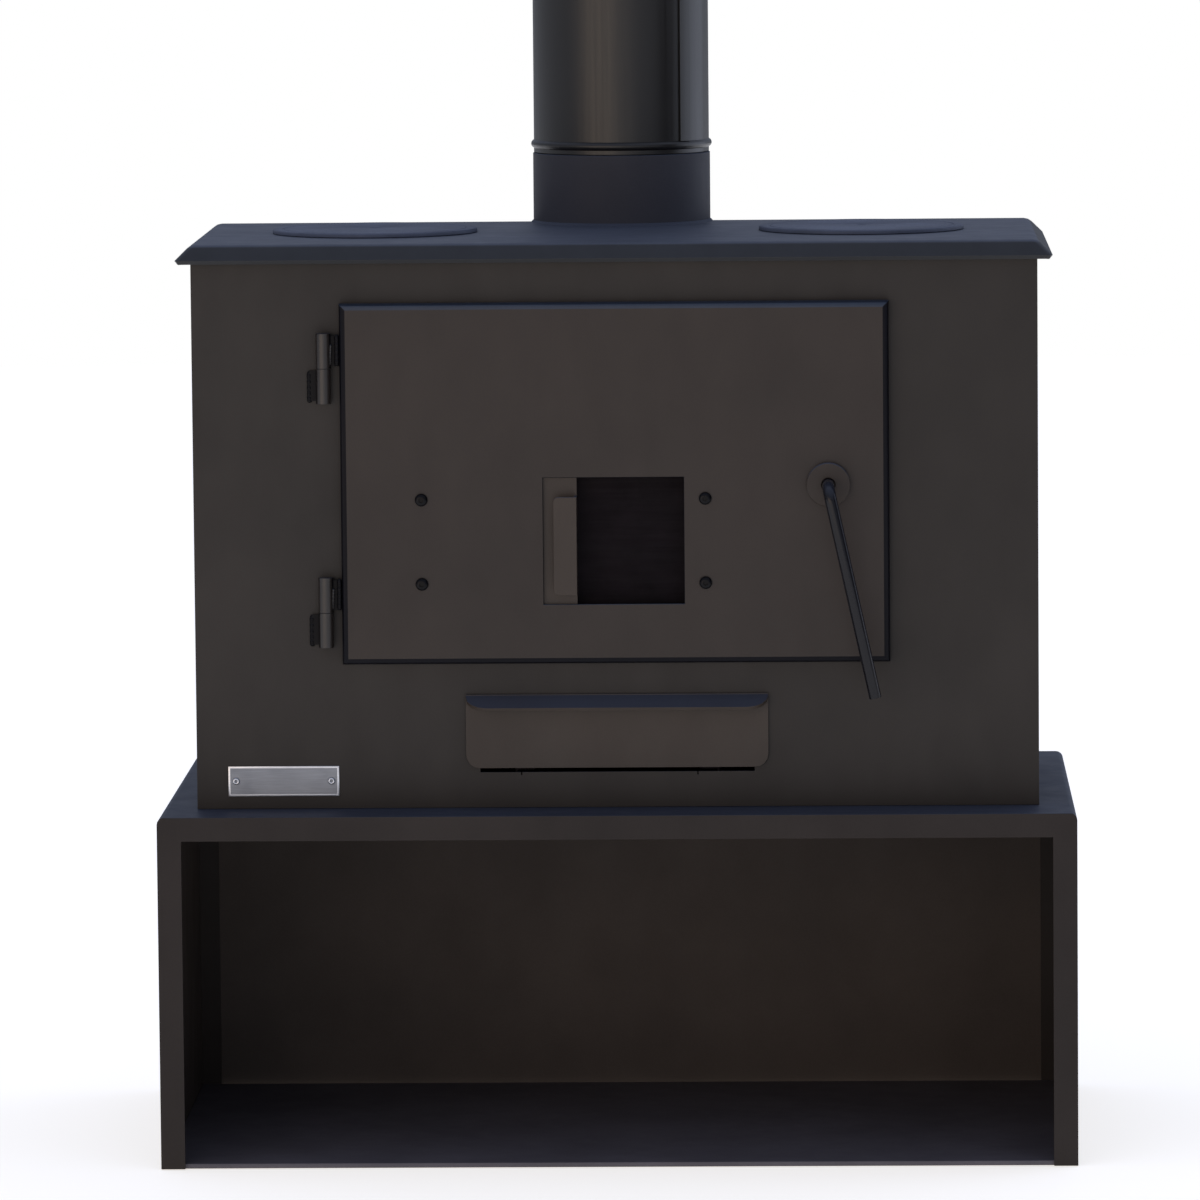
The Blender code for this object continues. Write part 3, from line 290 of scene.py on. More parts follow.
def rolled_steel(name, colour, roughness, metallic, specular):
    """Hot-rolled mild steel: a dark mill scale with blotches, and lines left by the rolls."""
    material, tree, output = new_material(name)
    scale = noise(tree, object_points(tree), 55.0, 6.0, 0.65)
    lines = noise(tree, object_points(tree, (0.05, 1.0, 1.0)), 500.0, 2.0)
    sockets = {
        "Base Color": toned(tree, colour, ramp(tree, scale, 0.7, 1.3)),
        "Roughness": ramp(tree, lines, roughness - 0.07, roughness + 0.07),
        "Metallic": metallic,
        "Specular IOR Level": specular,
        "Normal": relief(tree, lines, 0.00003),
    }
    surface(tree, output, sockets)
    return material


def pressed_firebrick(name, colour, fleck_colour, soot_colour):
    """Pressed vermiculite firebrick: sandy, with 3 mm mica flecks and pits, sooty in patches."""
    material, tree, output = new_material(name)
    points = object_points(tree)
    flakes = cells(tree, points, 320.0)
    sand = noise(tree, points, 240.0, 6.0, 0.7)
    smoke = noise(tree, points, 11.0, 5.0, 0.6)
    picked = ramp(tree, flakes.outputs["Color"], 0.0, 0.7, 0.62, 0.72)
    flecked = mixed(tree, picked, (*colour, 1.0), (*fleck_colour, 1.0))
    sooty = ramp(tree, smoke, 0.25, 0.85, 0.42, 0.66)
    sockets = {
        "Base Color": mixed(tree, sooty, flecked, (*soot_colour, 1.0)),
        "Roughness": ramp(tree, sand, 0.85, 1.0),
        "Specular IOR Level": 0.2,
        "Normal": relief(tree, sand, 0.0006),
    }
    surface(tree, output, sockets)
    return material


def glass_fibre_rope(name, colour, pale_colour):
    """Graphite-black braided glass fibre: each strand is a bundle of fine yarns with a dry sheen."""
    material, tree, output = new_material(name)
    points = object_points(tree)
    yarn = noise(tree, points, 900.0, 3.0, 0.7)
    fade = noise(tree, points, 25.0, 3.0, 0.6)
    sockets = {
        "Base Color": mixed(tree, fade, (*colour, 1.0), (*pale_colour, 1.0)),
        "Roughness": ramp(tree, yarn, 0.75, 0.95),
        "Sheen Weight": 0.2,
        "Normal": relief(tree, yarn, 0.0003),
    }
    surface(tree, output, sockets)
    return material


def galvanised_sheet(name, dark, light):
    """Hot-dip galvanised sheet: zinc crystals about 8 mm across, each with its own grey and gloss."""
    material, tree, output = new_material(name)
    points = object_points(tree)
    crystals = cells(tree, points, 125.0)
    ash = noise(tree, points, 30.0, 5.0, 0.6)
    sockets = {
        "Base Color": mixed(tree, crystals.outputs["Color"], (*dark, 1.0), (*light, 1.0)),
        "Roughness": ramp(tree, ash, 0.38, 0.62),
        "Metallic": 1.0,
        "Normal": relief(tree, ash, 0.0002),
    }
    surface(tree, output, sockets)
    return material


def brushed_aluminium(name, colour, roughness):
    """Brushed aluminium: lines along X about 0.5 mm apart, which blur the gloss one way."""
    material, tree, output = new_material(name)
    lines = noise(tree, object_points(tree, (0.03, 1.0, 1.0)), 1800.0, 2.0, 0.6)
    haze = noise(tree, object_points(tree), 60.0, 3.0)
    sockets = {
        "Base Color": toned(tree, colour, ramp(tree, lines, 0.88, 1.08)),
        "Roughness": ramp(tree, haze, roughness - 0.05, roughness + 0.05),
        "Metallic": 1.0,
        "Normal": relief(tree, lines, 0.00002),
    }
    surface(tree, output, sockets)
    return material


def pale_floor_finish(name, colour, glow):
    """White acrylic lit from below, as under a product in a studio, with the faintest cloudiness."""
    material, tree, output = new_material(name)
    clouds = noise(tree, object_points(tree), 1.5, 3.0)
    sockets = {
        "Base Color": toned(tree, colour, ramp(tree, clouds, 0.99, 1.01)),
        "Roughness": 0.9,
        "Specular IOR Level": 0.1,
        "Emission Color": (*glow, 1.0),
        "Emission Strength": 0.62,
    }
    surface(tree, output, sockets)
    return material


def dull_black_cloth(name, colour):
    """Black velvet on a frame, with a weave drawn at 2 mm."""
    material, tree, output = new_material(name)
    weave = noise(tree, object_points(tree), 500.0, 2.0)
    sockets = {
        "Base Color": (*colour, 1.0),
        "Roughness": 1.0,
        "Specular IOR Level": 0.0,
        "Normal": relief(tree, weave, 0.0005),
    }
    surface(tree, output, sockets)
    return material


# ---------------------------------------------------------------------------------------------
# Modelling helpers
# ---------------------------------------------------------------------------------------------


def start(name):
    """Names the object that was just added, and puts its place in its mesh."""
    piece = bpy.context.object
    piece.name = name
    piece.data.name = name
    bpy.ops.object.transform_apply(location=True, rotation=True, scale=True)
    return piece


def clear_selection():
    """Leaves nothing selected, so that the next operator acts only on its own piece."""
    bpy.ops.object.select_all(action="DESELECT")


def make_active(piece):
    """Selects one piece alone."""
    clear_selection()
    piece.select_set(True)
    bpy.context.view_layer.objects.active = piece


def pick(kind, test):
    """In edit mode, selects the VERT, EDGE or FACE items that pass a test, and nothing else."""
    bpy.ops.mesh.select_mode(type=kind)
    bpy.ops.mesh.select_all(action="DESELECT")
    mesh = bpy.context.edit_object.data
    bm = bmesh.from_edit_mesh(mesh)
    items = {"VERT": bm.verts, "EDGE": bm.edges, "FACE": bm.faces}[kind]
    for item in items:
        if test(item):
            item.select_set(True)
    bm.select_flush_mode()
    bmesh.update_edit_mesh(mesh)


def add_modifier(piece, kind, **settings):
    """Adds a modifier and applies it."""
    make_active(piece)
    modifier = piece.modifiers.new(kind.lower(), kind)
    for key, value in settings.items():
        setattr(modifier, key, value)
    bpy.ops.object.modifier_apply(modifier=modifier.name)


def soften_edges(piece, width, segments=2):
    """Rounds the sharp edges, and keeps the broad faces looking flat."""
    make_active(piece)
    bpy.ops.object.shade_smooth()
    if width:
        add_modifier(
            piece,
            "BEVEL",
            width=width,
            segments=segments,
            limit_method="ANGLE",
            angle_limit=math.radians(35),
            use_clamp_overlap=True,
        )
    add_modifier(piece, "WEIGHTED_NORMAL", mode="FACE_AREA", weight=100, keep_sharp=False)


def set_finish(piece, body, slot, material, *nodes):
    """Gives a piece its material and body, and hides the CAD nodes that it stands for."""
    piece.data.materials.clear()
    piece.data.materials.append(material)
    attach(piece, body)
    if nodes:
        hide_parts(*nodes)
    return piece


def copy_of_node(node, name):
    """A merged copy of a CAD node, with flat faces in place of its loose triangles."""
    make_active(frame["nodes"][node])
    bpy.ops.object.duplicate(linked=False)
    piece = bpy.context.object
    piece.name = name
    piece.data.name = name
    del piece["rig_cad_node"]
    bpy.ops.mesh.customdata_custom_splitnormals_clear()
    bpy.ops.object.mode_set(mode="EDIT")
    bpy.ops.mesh.select_all(action="SELECT")
    bpy.ops.mesh.remove_doubles(threshold=0.000005)
    bpy.ops.mesh.dissolve_limited(angle_limit=math.radians(0.5))
    bpy.ops.object.mode_set(mode="OBJECT")
    return piece


def dressed(node, slot, material, edge=0.0006, segments=2):
    """A CAD node's own shape with its edges eased."""
    body = frame["nodes"][node]["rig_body"]
    piece = copy_of_node(node, f"{node}_finished")
    soften_edges(piece, edge, segments)
    return set_finish(piece, body, slot, material, node)


def second_finish(piece, material, test):
    """Gives the faces that pass a test another material."""
    piece.data.materials.append(material)
    make_active(piece)
    bpy.ops.object.mode_set(mode="EDIT")
    pick("FACE", test)
    piece.active_material_index = len(piece.data.materials) - 1
    bpy.ops.object.material_slot_assign()
    bpy.ops.object.mode_set(mode="OBJECT")


def turned(name, profile, steps, ring=False, domed=False):
    """Turns (radius, height) points about Z, ring by ring, from the first point's circle.

    A ring joins its last circle to its first. Otherwise the first circle is filled flat, and the last is
    filled flat or, where domed, drawn to a point at its middle.
    """
    clear_selection()
    radius, height = profile[0]
    bpy.ops.mesh.primitive_circle_add(vertices=steps, radius=radius, location=(0, 0, height))
    piece = start(name)
    bpy.ops.object.mode_set(mode="EDIT")
    bpy.ops.mesh.select_mode(type="EDGE")
    bpy.ops.mesh.select_all(action="SELECT")
    for new_radius, new_height in profile[1:]:
        step = {"value": (0, 0, new_height - height)}
        bpy.ops.mesh.extrude_edges_move(TRANSFORM_OT_translate=step)
        grow = new_radius / radius
        bpy.ops.transform.resize(value=(grow, grow, 1), center_override=(0, 0, new_height))
        radius, height = new_radius, new_height
    if ring:
        pick("EDGE", lambda edge: len(edge.link_faces) == 1)
        bpy.ops.mesh.bridge_edge_loops()
    else:
        if domed:
            bpy.ops.mesh.merge(type="CENTER")
        pick("EDGE", lambda edge: len(edge.link_faces) == 1)
        bpy.ops.mesh.fill_holes(sides=0)
    bpy.ops.mesh.select_all(action="SELECT")
    bpy.ops.mesh.normals_make_consistent(inside=False)
    bpy.ops.object.mode_set(mode="OBJECT")
    return piece


def place(piece, centre, facing="UP"):
    """Turns a piece made about Z so that its top faces up or to the front, and moves it."""
    make_active(piece)
    if facing == "FRONT":
        piece.rotation_euler = (math.pi / 2, 0, 0)
    piece.location = centre
    bpy.ops.object.transform_apply(location=True, rotation=True, scale=True)
    return piece


def eased_block(name, low, high, edge, segments=2):
    """A block between two corners, with its edges bevelled."""
    clear_selection()
    size = [b - a for a, b in zip(low, high)]
    centre = [(a + b) / 2 for a, b in zip(low, high)]
    bpy.ops.mesh.primitive_cube_add(size=1, location=centre, scale=size)
    piece = start(name)
    bpy.ops.object.mode_set(mode="EDIT")
    bpy.ops.mesh.select_all(action="SELECT")
    bpy.ops.mesh.bevel(offset=edge, segments=segments, affect="EDGES")
    bpy.ops.object.mode_set(mode="OBJECT")
    return piece


def joined(name, *pieces):
    """Joins pieces into the first one."""
    make_active(pieces[0])
    for piece in pieces[1:]:
        piece.select_set(True)
    bpy.ops.object.join()
    result = bpy.context.object
    result.name = name
    result.data.name = name
    return result


def smooth_round(piece, angle=35):
    """Smooths the turned faces and leaves real corners sharp."""
    make_active(piece)
    bpy.ops.object.shade_smooth_by_angle(angle=math.radians(angle))
    return piece


# ---------------------------------------------------------------------------------------------
# Settings
# ---------------------------------------------------------------------------------------------


class StoveFinishes(bpy.types.PropertyGroup):
    """The colours of the stove's finishes."""

    body_paint: bpy.props.FloatVectorProperty(
        name="Body Paint", description="Paint on the firebox", subtype="COLOR", default=linear("#2a2623")
    )
    door_paint: bpy.props.FloatVectorProperty(
        name="Door Paint", description="Paint on the door", subtype="COLOR", default=linear("#2c2521")
    )
    hinge_paint: bpy.props.FloatVectorProperty(
        name="Hinge Paint", description="Paint on the hinges", subtype="COLOR", default=linear("#211d1b")
    )
    handle_paint: bpy.props.FloatVectorProperty(
        name="Handle Paint", description="Paint on the handle", subtype="COLOR", default=linear("#121217")
    )
    stand_paint: bpy.props.FloatVectorProperty(
        name="Stand Paint", description="Paint on the log store", subtype="COLOR", default=linear("#2b2624")
    )
    # Painted light: a paler copy of the stand paint for the log store's inner faces, standing in for the
    # light that reaches inside.
    inner_paint: bpy.props.FloatVectorProperty(
        name="Inner Paint", description="Paler paint in the log store, painted light", subtype="COLOR", default=linear("#48413d")
    )
    # Painted light: a still paler paint for the log store's floor, standing in for the light that reaches it.
    floor_paint: bpy.props.FloatVectorProperty(
        name="Floor Paint", description="Paler paint on its floor, painted light", subtype="COLOR", default=linear("#57545a")
    )
    thin_paint: bpy.props.FloatVectorProperty(
        name="Thin Paint", description="Paler paint on the edges", subtype="COLOR", default=linear("#5a564f")
    )
    top_paint: bpy.props.FloatVectorProperty(
        name="Top Paint", description="Paint on the top plate", subtype="COLOR", default=linear("#14161a")
    )
    # Painted sky light: the blue-grey tint that upward faces take, standing in for the light from above.
    ash_dust: bpy.props.FloatVectorProperty(
        name="Painted Sky Light", description="Painted sky light on what faces up", subtype="COLOR", default=linear("#3a4150")
    )
    pipe_enamel: bpy.props.FloatVectorProperty(
        name="Pipe Enamel", description="Enamel on the flue pipe", subtype="COLOR", default=linear("#12100f")
    )
    cast_black: bpy.props.FloatVectorProperty(
        name="Cast Black", description="Blacked iron of the discs", subtype="COLOR", default=linear("#4b5263")
    )
    mill_scale: bpy.props.FloatVectorProperty(
        name="Mill Scale", description="Bare dark steel", subtype="COLOR", default=linear("#4a4a4c")
    )
    slide_paint: bpy.props.FloatVectorProperty(
        name="Slide Paint", description="Slide and drawer paint", subtype="COLOR", default=linear("#38302a")
    )
    soot: bpy.props.FloatVectorProperty(
        name="Soot", description="Soot on the inner shield", subtype="COLOR", default=linear("#110c0f")
    )
    brick: bpy.props.FloatVectorProperty(
        name="Firebrick", description="Clean firebrick", subtype="COLOR", default=linear("#b89a6c")
    )
    mica: bpy.props.FloatVectorProperty(
        name="Mica", description="Flecks in the firebrick", subtype="COLOR", default=linear("#d8c092")
    )
    rope: bpy.props.FloatVectorProperty(
        name="Rope", description="Braided door seal", subtype="COLOR", default=linear("#3a3a3c")
    )
    zinc: bpy.props.FloatVectorProperty(
        name="Zinc", description="Galvanised ash tray", subtype="COLOR", default=linear("#6f7274")
    )
    plate: bpy.props.FloatVectorProperty(
        name="Badge", description="Aluminium badge plate", subtype="COLOR", default=linear("#c9ccd2")
    )
    paper: bpy.props.FloatVectorProperty(
        name="Floor", description="Pale studio floor", subtype="COLOR", default=linear("#f2f2f2")
    )


class StoveSizes(bpy.types.PropertyGroup):
    """The sizes of the stove's fine detail."""

    sheet_edge: bpy.props.FloatProperty(
        name="Sheet Edge", description="Radius on cut sheet edges", unit="LENGTH", default=0.0006
    )
    seam_width: bpy.props.FloatProperty(
        name="Seam Width", description="Width of the pipe's lock seam", unit="LENGTH", default=0.0110
    )
    seam_proud: bpy.props.FloatProperty(
        name="Seam Height", description="How far the lock seam stands out", unit="LENGTH", default=0.0013
    )
    seam_angle: bpy.props.FloatProperty(
        name="Seam Angle", description="Turn of the seam from the front", unit="ROTATION", default=0.74
    )
    weld_size: bpy.props.FloatProperty(
        name="Weld Size", description="Leg of a weld bead", unit="LENGTH", default=0.0022
    )
    socket_across: bpy.props.FloatProperty(
        name="Socket", description="Width across the flats of a bolt's socket", unit="LENGTH", default=0.0040
    )
    rope_pitch: bpy.props.FloatProperty(
        name="Rope Pitch", description="Length of one turn of a strand", unit="LENGTH", default=0.016
    )


class StoveFinish:
    """What every operator here shares."""

    bl_options = {"REGISTER", "UNDO"}

    def paint(self, name, colour, **changes):
        """The firebox paint in one of its tones."""
        look = bpy.context.scene.stove_finishes
        # The third tint is the painted sky light for faces that turn up.
        tints = (tuple(colour), tuple(look.thin_paint), tuple(look.ash_dust))
        settings = {"roughness": 0.50, "specular": 0.27, **changes}
        return shared(sprayed_paint, name, *tints, **settings)

    def door_paint(self):
        """The door's paint, which its boss shares."""
        look = bpy.context.scene.stove_finishes
        return self.paint("sprayed_stove_paint_door", look.door_paint, roughness=0.45, specular=0.31)

    def slide_paint(self):
        """The paint of the air slide, which the drawer's front shares."""
        look = bpy.context.scene.stove_finishes
        return self.paint("sprayed_stove_paint_slide", look.slide_paint, roughness=0.45, specular=0.31)

    def steel(self):
        """Bare dark steel."""
        look = bpy.context.scene.stove_finishes
        return shared(rolled_steel, "hot_rolled_steel", tuple(look.mill_scale), 0.5, 0.85, 0.5)

    def sooty_steel(self):
        """Steel under a dull coat of soot."""
        look = bpy.context.scene.stove_finishes
        return shared(rolled_steel, "soot_coated_steel", tuple(look.soot), 0.85, 0.0, 0.14)


def shared(make, name, *settings, **more):
    """The material of that name, made the first time that it is asked for."""
    return bpy.data.materials.get(name) or make(name, *settings, **more)


def centre_of(node):
    """The middle of a CAD node's box."""
    low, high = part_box(node)
    return (low + high) / 2


# ---------------------------------------------------------------------------------------------
# Stand and body
# ---------------------------------------------------------------------------------------------


class STOVE_OT_stand(StoveFinish, bpy.types.Operator):
    """Finish the log store stand"""

    bl_idname = "stove.stand"
    bl_label = "Log Store Stand"

    def execute(self, context):
        look = context.scene.stove_finishes
        edge = context.scene.stove_sizes.sheet_edge
        paint = self.paint("sprayed_stove_paint_stand", look.stand_paint, roughness=0.52, specular=0.17)
        # The inner faces and the floor get paler paints, painted light standing in for the light inside the
        # log store; the inner faces also take some painted sky light.
        dusty = {"roughness": 0.6, "specular": 0.17}
        inside = self.paint("dusty_stove_paint_inside", look.inner_paint, dust=0.35, **dusty)
        dressed("stand_back_panel", "stand_paint", inside, edge)
        painted_light_floor = self.paint("dusty_stove_paint_floor", look.floor_paint, dust=0.0, **dusty)
        dressed("stand_floor", "stand_paint", painted_light_floor, edge)
        self.shell(paint, inside, edge)
        return {"FINISHED"}

    def shell(self, paint, inside, edge):
        """The folded shell: a rounded front fold along its top, and paler paint on its inner faces, painted
        light standing in for the light that reaches inside.
        """
        node = "stand_shell"
        low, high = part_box(node)
        reach = (high.x - low.x) / 2 - INSIDE_DEPTH
        ceiling = high.z - INSIDE_DEPTH
        shell = copy_of_node(node, "stand_shell_finished")
        make_active(shell)
        bpy.ops.object.mode_set(mode="EDIT")

        def on_top_fold(edge):
            front = all(vert.co.y < low.y + ON_PLANE for vert in edge.verts)
            return front and all(vert.co.z > high.z - ON_PLANE for vert in edge.verts)

        pick("EDGE", on_top_fold)
        bpy.ops.mesh.bevel(offset=TOP_FOLD, segments=4, affect="EDGES")
        bpy.ops.object.mode_set(mode="OBJECT")
        soften_edges(shell, edge)
        set_finish(shell, "stove", "stand_paint", paint, node)

        def is_inside(face):
            spot = face.calc_center_median()
            between = low.y + INSIDE_DEPTH < spot.y < high.y - 0.01
            return between and abs(spot.x) < reach and spot.z < ceiling

        # Painted light: the paler paint goes on the inner faces.
        second_finish(shell, inside, is_inside)


class STOVE_OT_body(StoveFinish, bpy.types.Operator):
    """Finish the firebox panels and the smoke box behind them"""

    bl_idname = "stove.body"
    bl_label = "Firebox Body"

    def execute(self, context):
        look = context.scene.stove_finishes
        edge = context.scene.stove_sizes.sheet_edge
        paint = self.paint("sprayed_stove_paint_body", look.body_paint)
        panels = ("body_front_panel", "body_side_left", "body_side_right", "body_back_panel", "body_floor")
        for node in panels + ("hearth_plate", "flue_box"):
            dressed(node, "stove_paint", paint, edge)
        return {"FINISHED"}


class STOVE_OT_top_plate(StoveFinish, bpy.types.Operator):
    """Finish the folded top plate"""

    bl_idname = "stove.top_plate"
    bl_label = "Top Plate"

    def execute(self, context):
        look = context.scene.stove_finishes
        edge = context.scene.stove_sizes.sheet_edge
        gloss = {"roughness": 0.55, "specular": 0.5}
        # Painted sky light over nearly all of the plate's upward faces.
        paint = self.paint("sprayed_stove_paint_top", look.top_paint, dust=0.95, level=0.8, **gloss)
        dressed("top_plate", "stove_paint", paint, edge)
        return {"FINISHED"}


class STOVE_OT_hob_discs(StoveFinish, bpy.types.Operator):
    """Model the two cast hob discs, with a rounded rim, a shallow groove and a lifting hole"""

    bl_idname = "stove.hob_discs"
    bl_label = "Hob Discs"

    def execute(self, context):
        look = context.scene.stove_finishes
        iron = shared(blacked_cast_iron, "blacked_cast_iron", tuple(look.cast_black), 0.62)
        ring = DISC_RING_R
        inner = ring - DISC_WALL
        edge = context.scene.stove_sizes.sheet_edge
        for side in ("left", "right"):
            low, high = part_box(f"hob_disc_{side}")
            middle = (low + high) / 2
            radius = (high.x - low.x) / 2
            groove = radius - DISC_GROOVE_IN
            foot = low.z - high.z + DISC_T
            profile = [
                (LIFT_HOLE_R, DISC_T - LIFT_HOLE_DEPTH),
                (LIFT_HOLE_R, DISC_T - 0.0004),
                (LIFT_HOLE_R + edge, DISC_T),
                (groove, DISC_T),
                (groove + 0.0006, DISC_T - 0.0005),
                (groove + 0.0016, DISC_T - 0.0005),
                (groove + 0.0022, DISC_T),
                (radius - 0.0012, DISC_T),
                (radius - 0.0004, DISC_T - 0.0005),
                (radius, DISC_T - 0.0013),
                (radius, 0.0004),
                (radius - 0.0004, 0.0),
                (ring, 0.0),
                (ring, foot + edge),
                (ring - edge, foot),
                (inner + edge, foot),
                (inner, foot + edge),
                (inner, -DISC_WALL),
            ]
            disc = turned(f"hob_disc_{side}_cast", profile, 128)
            place(disc, (middle.x, middle.y, high.z - DISC_T))
            smooth_round(disc)
            set_finish(disc, f"{side}_hob_disc", "cast_iron", iron, f"hob_disc_{side}")
        return {"FINISHED"}


# ---------------------------------------------------------------------------------------------
# Flue
# ---------------------------------------------------------------------------------------------


class STOVE_OT_flue(StoveFinish, bpy.types.Operator):
    """Model the flue pipe with its bead and lock seam, and the welded spigot below it"""

    bl_idname = "stove.flue"
    bl_label = "Flue"

    def execute(self, context):
        look = context.scene.stove_finishes
        sizes = context.scene.stove_sizes
        enamel = shared(satin_flue_enamel, "satin_flue_enamel", tuple(look.pipe_enamel), 0.36)
        matt = self.paint("sprayed_stove_paint_spigot", linear("#3b3c43"), roughness=0.58, specular=0.16)
        self.pipe(enamel, sizes)
        self.spigot(matt, sizes)
        return {"FINISHED"}

    def pipe(self, enamel, sizes):
        """The pipe: a sleeve inside the spigot, a swaged bead, the tube, and a lock seam up its side."""
        low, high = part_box("flue_pipe")
        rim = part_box("flue_spigot")[1].z + RIM_GAP
        centre = centre_of("flue_spigot")
        outer = PIPE_R
        inner = PIPE_R - PIPE_WALL
        bore = SLEEVE_R - PIPE_WALL
        bead_low = rim + BEAD_LOW
        bead_high = rim + BEAD_HIGH
        middle = (bead_low + bead_high) / 2
        half = (bead_high - bead_low) / 2
        profile = [(outer, high.z - PIPE_LIP), (outer, bead_high + BEAD_BLEND)]
        for step in range(1, 8):
            angle = math.pi * step / 8
            profile.append((outer + BEAD_PROUD * math.sin(angle), middle + half * math.cos(angle)))
        profile += [
            (outer, bead_low - BEAD_BLEND),
            (outer, rim + PIPE_LIP),
            (outer - PIPE_LIP, rim),
            (SLEEVE_R, rim),
            (SLEEVE_R, low.z + PIPE_LIP),
            (bore, low.z + PIPE_LIP),
            (bore, bead_low),
            (inner, bead_high),
            (inner, high.z - PIPE_LIP),
            (inner + PIPE_LIP, high.z),
            (outer - PIPE_LIP, high.z),
        ]
        pipe = turned("flue_pipe_seamed", profile, PIPE_STEPS, ring=True)
        facet = 2 * math.pi / PIPE_STEPS
        seam = facet * max(2, round(sizes.seam_width / outer / facet))

        def on_seam(face):
            spot = face.calc_center_median()
            angle = math.atan2(spot.x, -spot.y) - sizes.seam_angle
            outside = math.hypot(spot.x, spot.y) > outer - PIPE_WALL / 2
            steep = abs(face.normal.z) < 0.2
            return outside and steep and spot.z > bead_high and 0 <= angle < seam

        bpy.ops.object.mode_set(mode="EDIT")
        pick("FACE", on_seam)
        bpy.ops.mesh.extrude_region_shrink_fatten(TRANSFORM_OT_shrink_fatten={"value": sizes.seam_proud})
        bpy.ops.object.mode_set(mode="OBJECT")
        place(pipe, (0, centre.y, 0))
        smooth_round(pipe, 40)
        set_finish(pipe, "stove", "flue_enamel", enamel, "flue_pipe")

    def spigot(self, matt, sizes):
        """The spigot tube, and the bead of weld round its foot on the top plate."""
        low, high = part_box("flue_spigot")
        centre = (low + high) / 2
        outer = (high.x - low.x) / 2
        inner = outer - SPIGOT_WALL
        edge = sizes.sheet_edge
        profile = [
            (outer, high.z - edge),
            (outer, low.z),
            (inner, low.z),
            (inner, high.z - edge),
            (inner + edge, high.z),
            (outer - edge, high.z),
        ]
        tube = turned("flue_spigot_tube", profile, PIPE_STEPS, ring=True)
        place(tube, (0, centre.y, 0))
        smooth_round(tube)
        set_finish(tube, "stove", "flue_enamel", matt, "flue_spigot")
        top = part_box("top_plate")[1].z
        leg = sizes.weld_size
        profile = [
            (outer, top + leg),
            (outer + 0.35 * leg, top + 0.75 * leg),
            (outer + 0.75 * leg, top + 0.35 * leg),
            (outer + leg, top),
            (outer, top),
        ]
        weld = turned("flue_spigot_weld", profile, WELD_STEPS, ring=True)
        bpy.ops.object.mode_set(mode="EDIT")

        def on_ripple(vert):
            angle = math.atan2(vert.co.y, vert.co.x)
            out = math.hypot(vert.co.x, vert.co.y) > outer + 0.2 * leg
            third = round(angle * WELD_STEPS / (2 * math.pi)) % 3 == 0
            return out and third and vert.co.z > top + 0.1 * leg

        pick("VERT", on_ripple)
        bpy.ops.transform.shrink_fatten(value=-RIPPLE_DEPTH)
        bpy.ops.object.mode_set(mode="OBJECT")
        place(weld, (0, centre.y, 0))
        make_active(weld)
        bpy.ops.object.mode_set(mode="EDIT")
        back = centre_of("body_back_panel").y
        pick("FACE", lambda face: face.calc_center_median().y > back)
        bpy.ops.mesh.delete(type="FACE")
        pick("EDGE", lambda edge: len(edge.link_faces) == 1)
        bpy.ops.mesh.fill_holes(sides=0)
        bpy.ops.object.mode_set(mode="OBJECT")
        smooth_round(weld, 60)
        set_finish(weld, "stove", "flue_enamel", matt)


# ---------------------------------------------------------------------------------------------
# Door
# ---------------------------------------------------------------------------------------------


def corner_run(width, height, radius, step):
    """Places round an upright rounded rectangle about (0, 0), evenly spaced, each with its outward way."""
    straight_w = width - 2 * radius
    straight_h = height - 2 * radius
    turn = radius * math.pi / 2
    legs = [straight_w, turn, straight_h, turn] * 2
    total = sum(legs)
    count = round(total / step)
    corners = [(1, 1), (-1, 1), (-1, -1), (1, -1)]
    run = []
    for index in range(count):
        left = total * index / count
        side = 0
        while left > legs[side]:
            left -= legs[side]
            side += 1
        number, curved = divmod(side, 2)
        out = math.radians(90 * number + 90)
        along = left
        if curved:
            out += left / radius
            along = 0
        corner_x, corner_z = corners[(number + curved) % 4]
        out_x = math.cos(out)
        out_z = math.sin(out)
        x = corner_x * straight_w / 2 + radius * out_x - along * out_z
        z = corner_z * straight_h / 2 + radius * out_z + along * out_x
        run.append((x, z, out_x, out_z))
    return run, total


def round_bar(name, points, radius, resolution):
    """A closed round bar through points."""
    clear_selection()
    curve = bpy.data.curves.new(name, "CURVE")
    curve.dimensions = "3D"
    curve.bevel_depth = radius
    curve.bevel_resolution = resolution
    spline = curve.splines.new("POLY")
    spline.points.add(len(points) - 1)
    for item, spot in zip(spline.points, points):
        item.co = (*spot, 1.0)
    spline.use_cyclic_u = True
    piece = bpy.data.objects.new(name, curve)
    bpy.context.collection.objects.link(piece)
    make_active(piece)
    bpy.ops.object.convert(target="MESH")
    bpy.ops.object.shade_smooth()
    return bpy.context.object


def weld_bead(name, low, high, radius):
    """A short weld along a line: overlapping ripples, each a little flattened."""
    run = Vector(high) - Vector(low)
    pitch = radius * 0.8
    count = max(2, round(run.length / pitch))
    ripples = []
    for index in range(count + 1):
        spot = Vector(low) + run * index / count
        swell = 1.0 + 0.12 * math.sin(index * 2.3)
        clear_selection()
        size = (radius * swell, radius * swell, radius * swell)
        bpy.ops.mesh.primitive_uv_sphere_add(segments=12, ring_count=8, radius=1.0, location=spot, scale=size)
        ripples.append(start(f"{name}_{index}"))
    bead = joined(name, *ripples)
    bpy.ops.object.shade_smooth()
    return bead


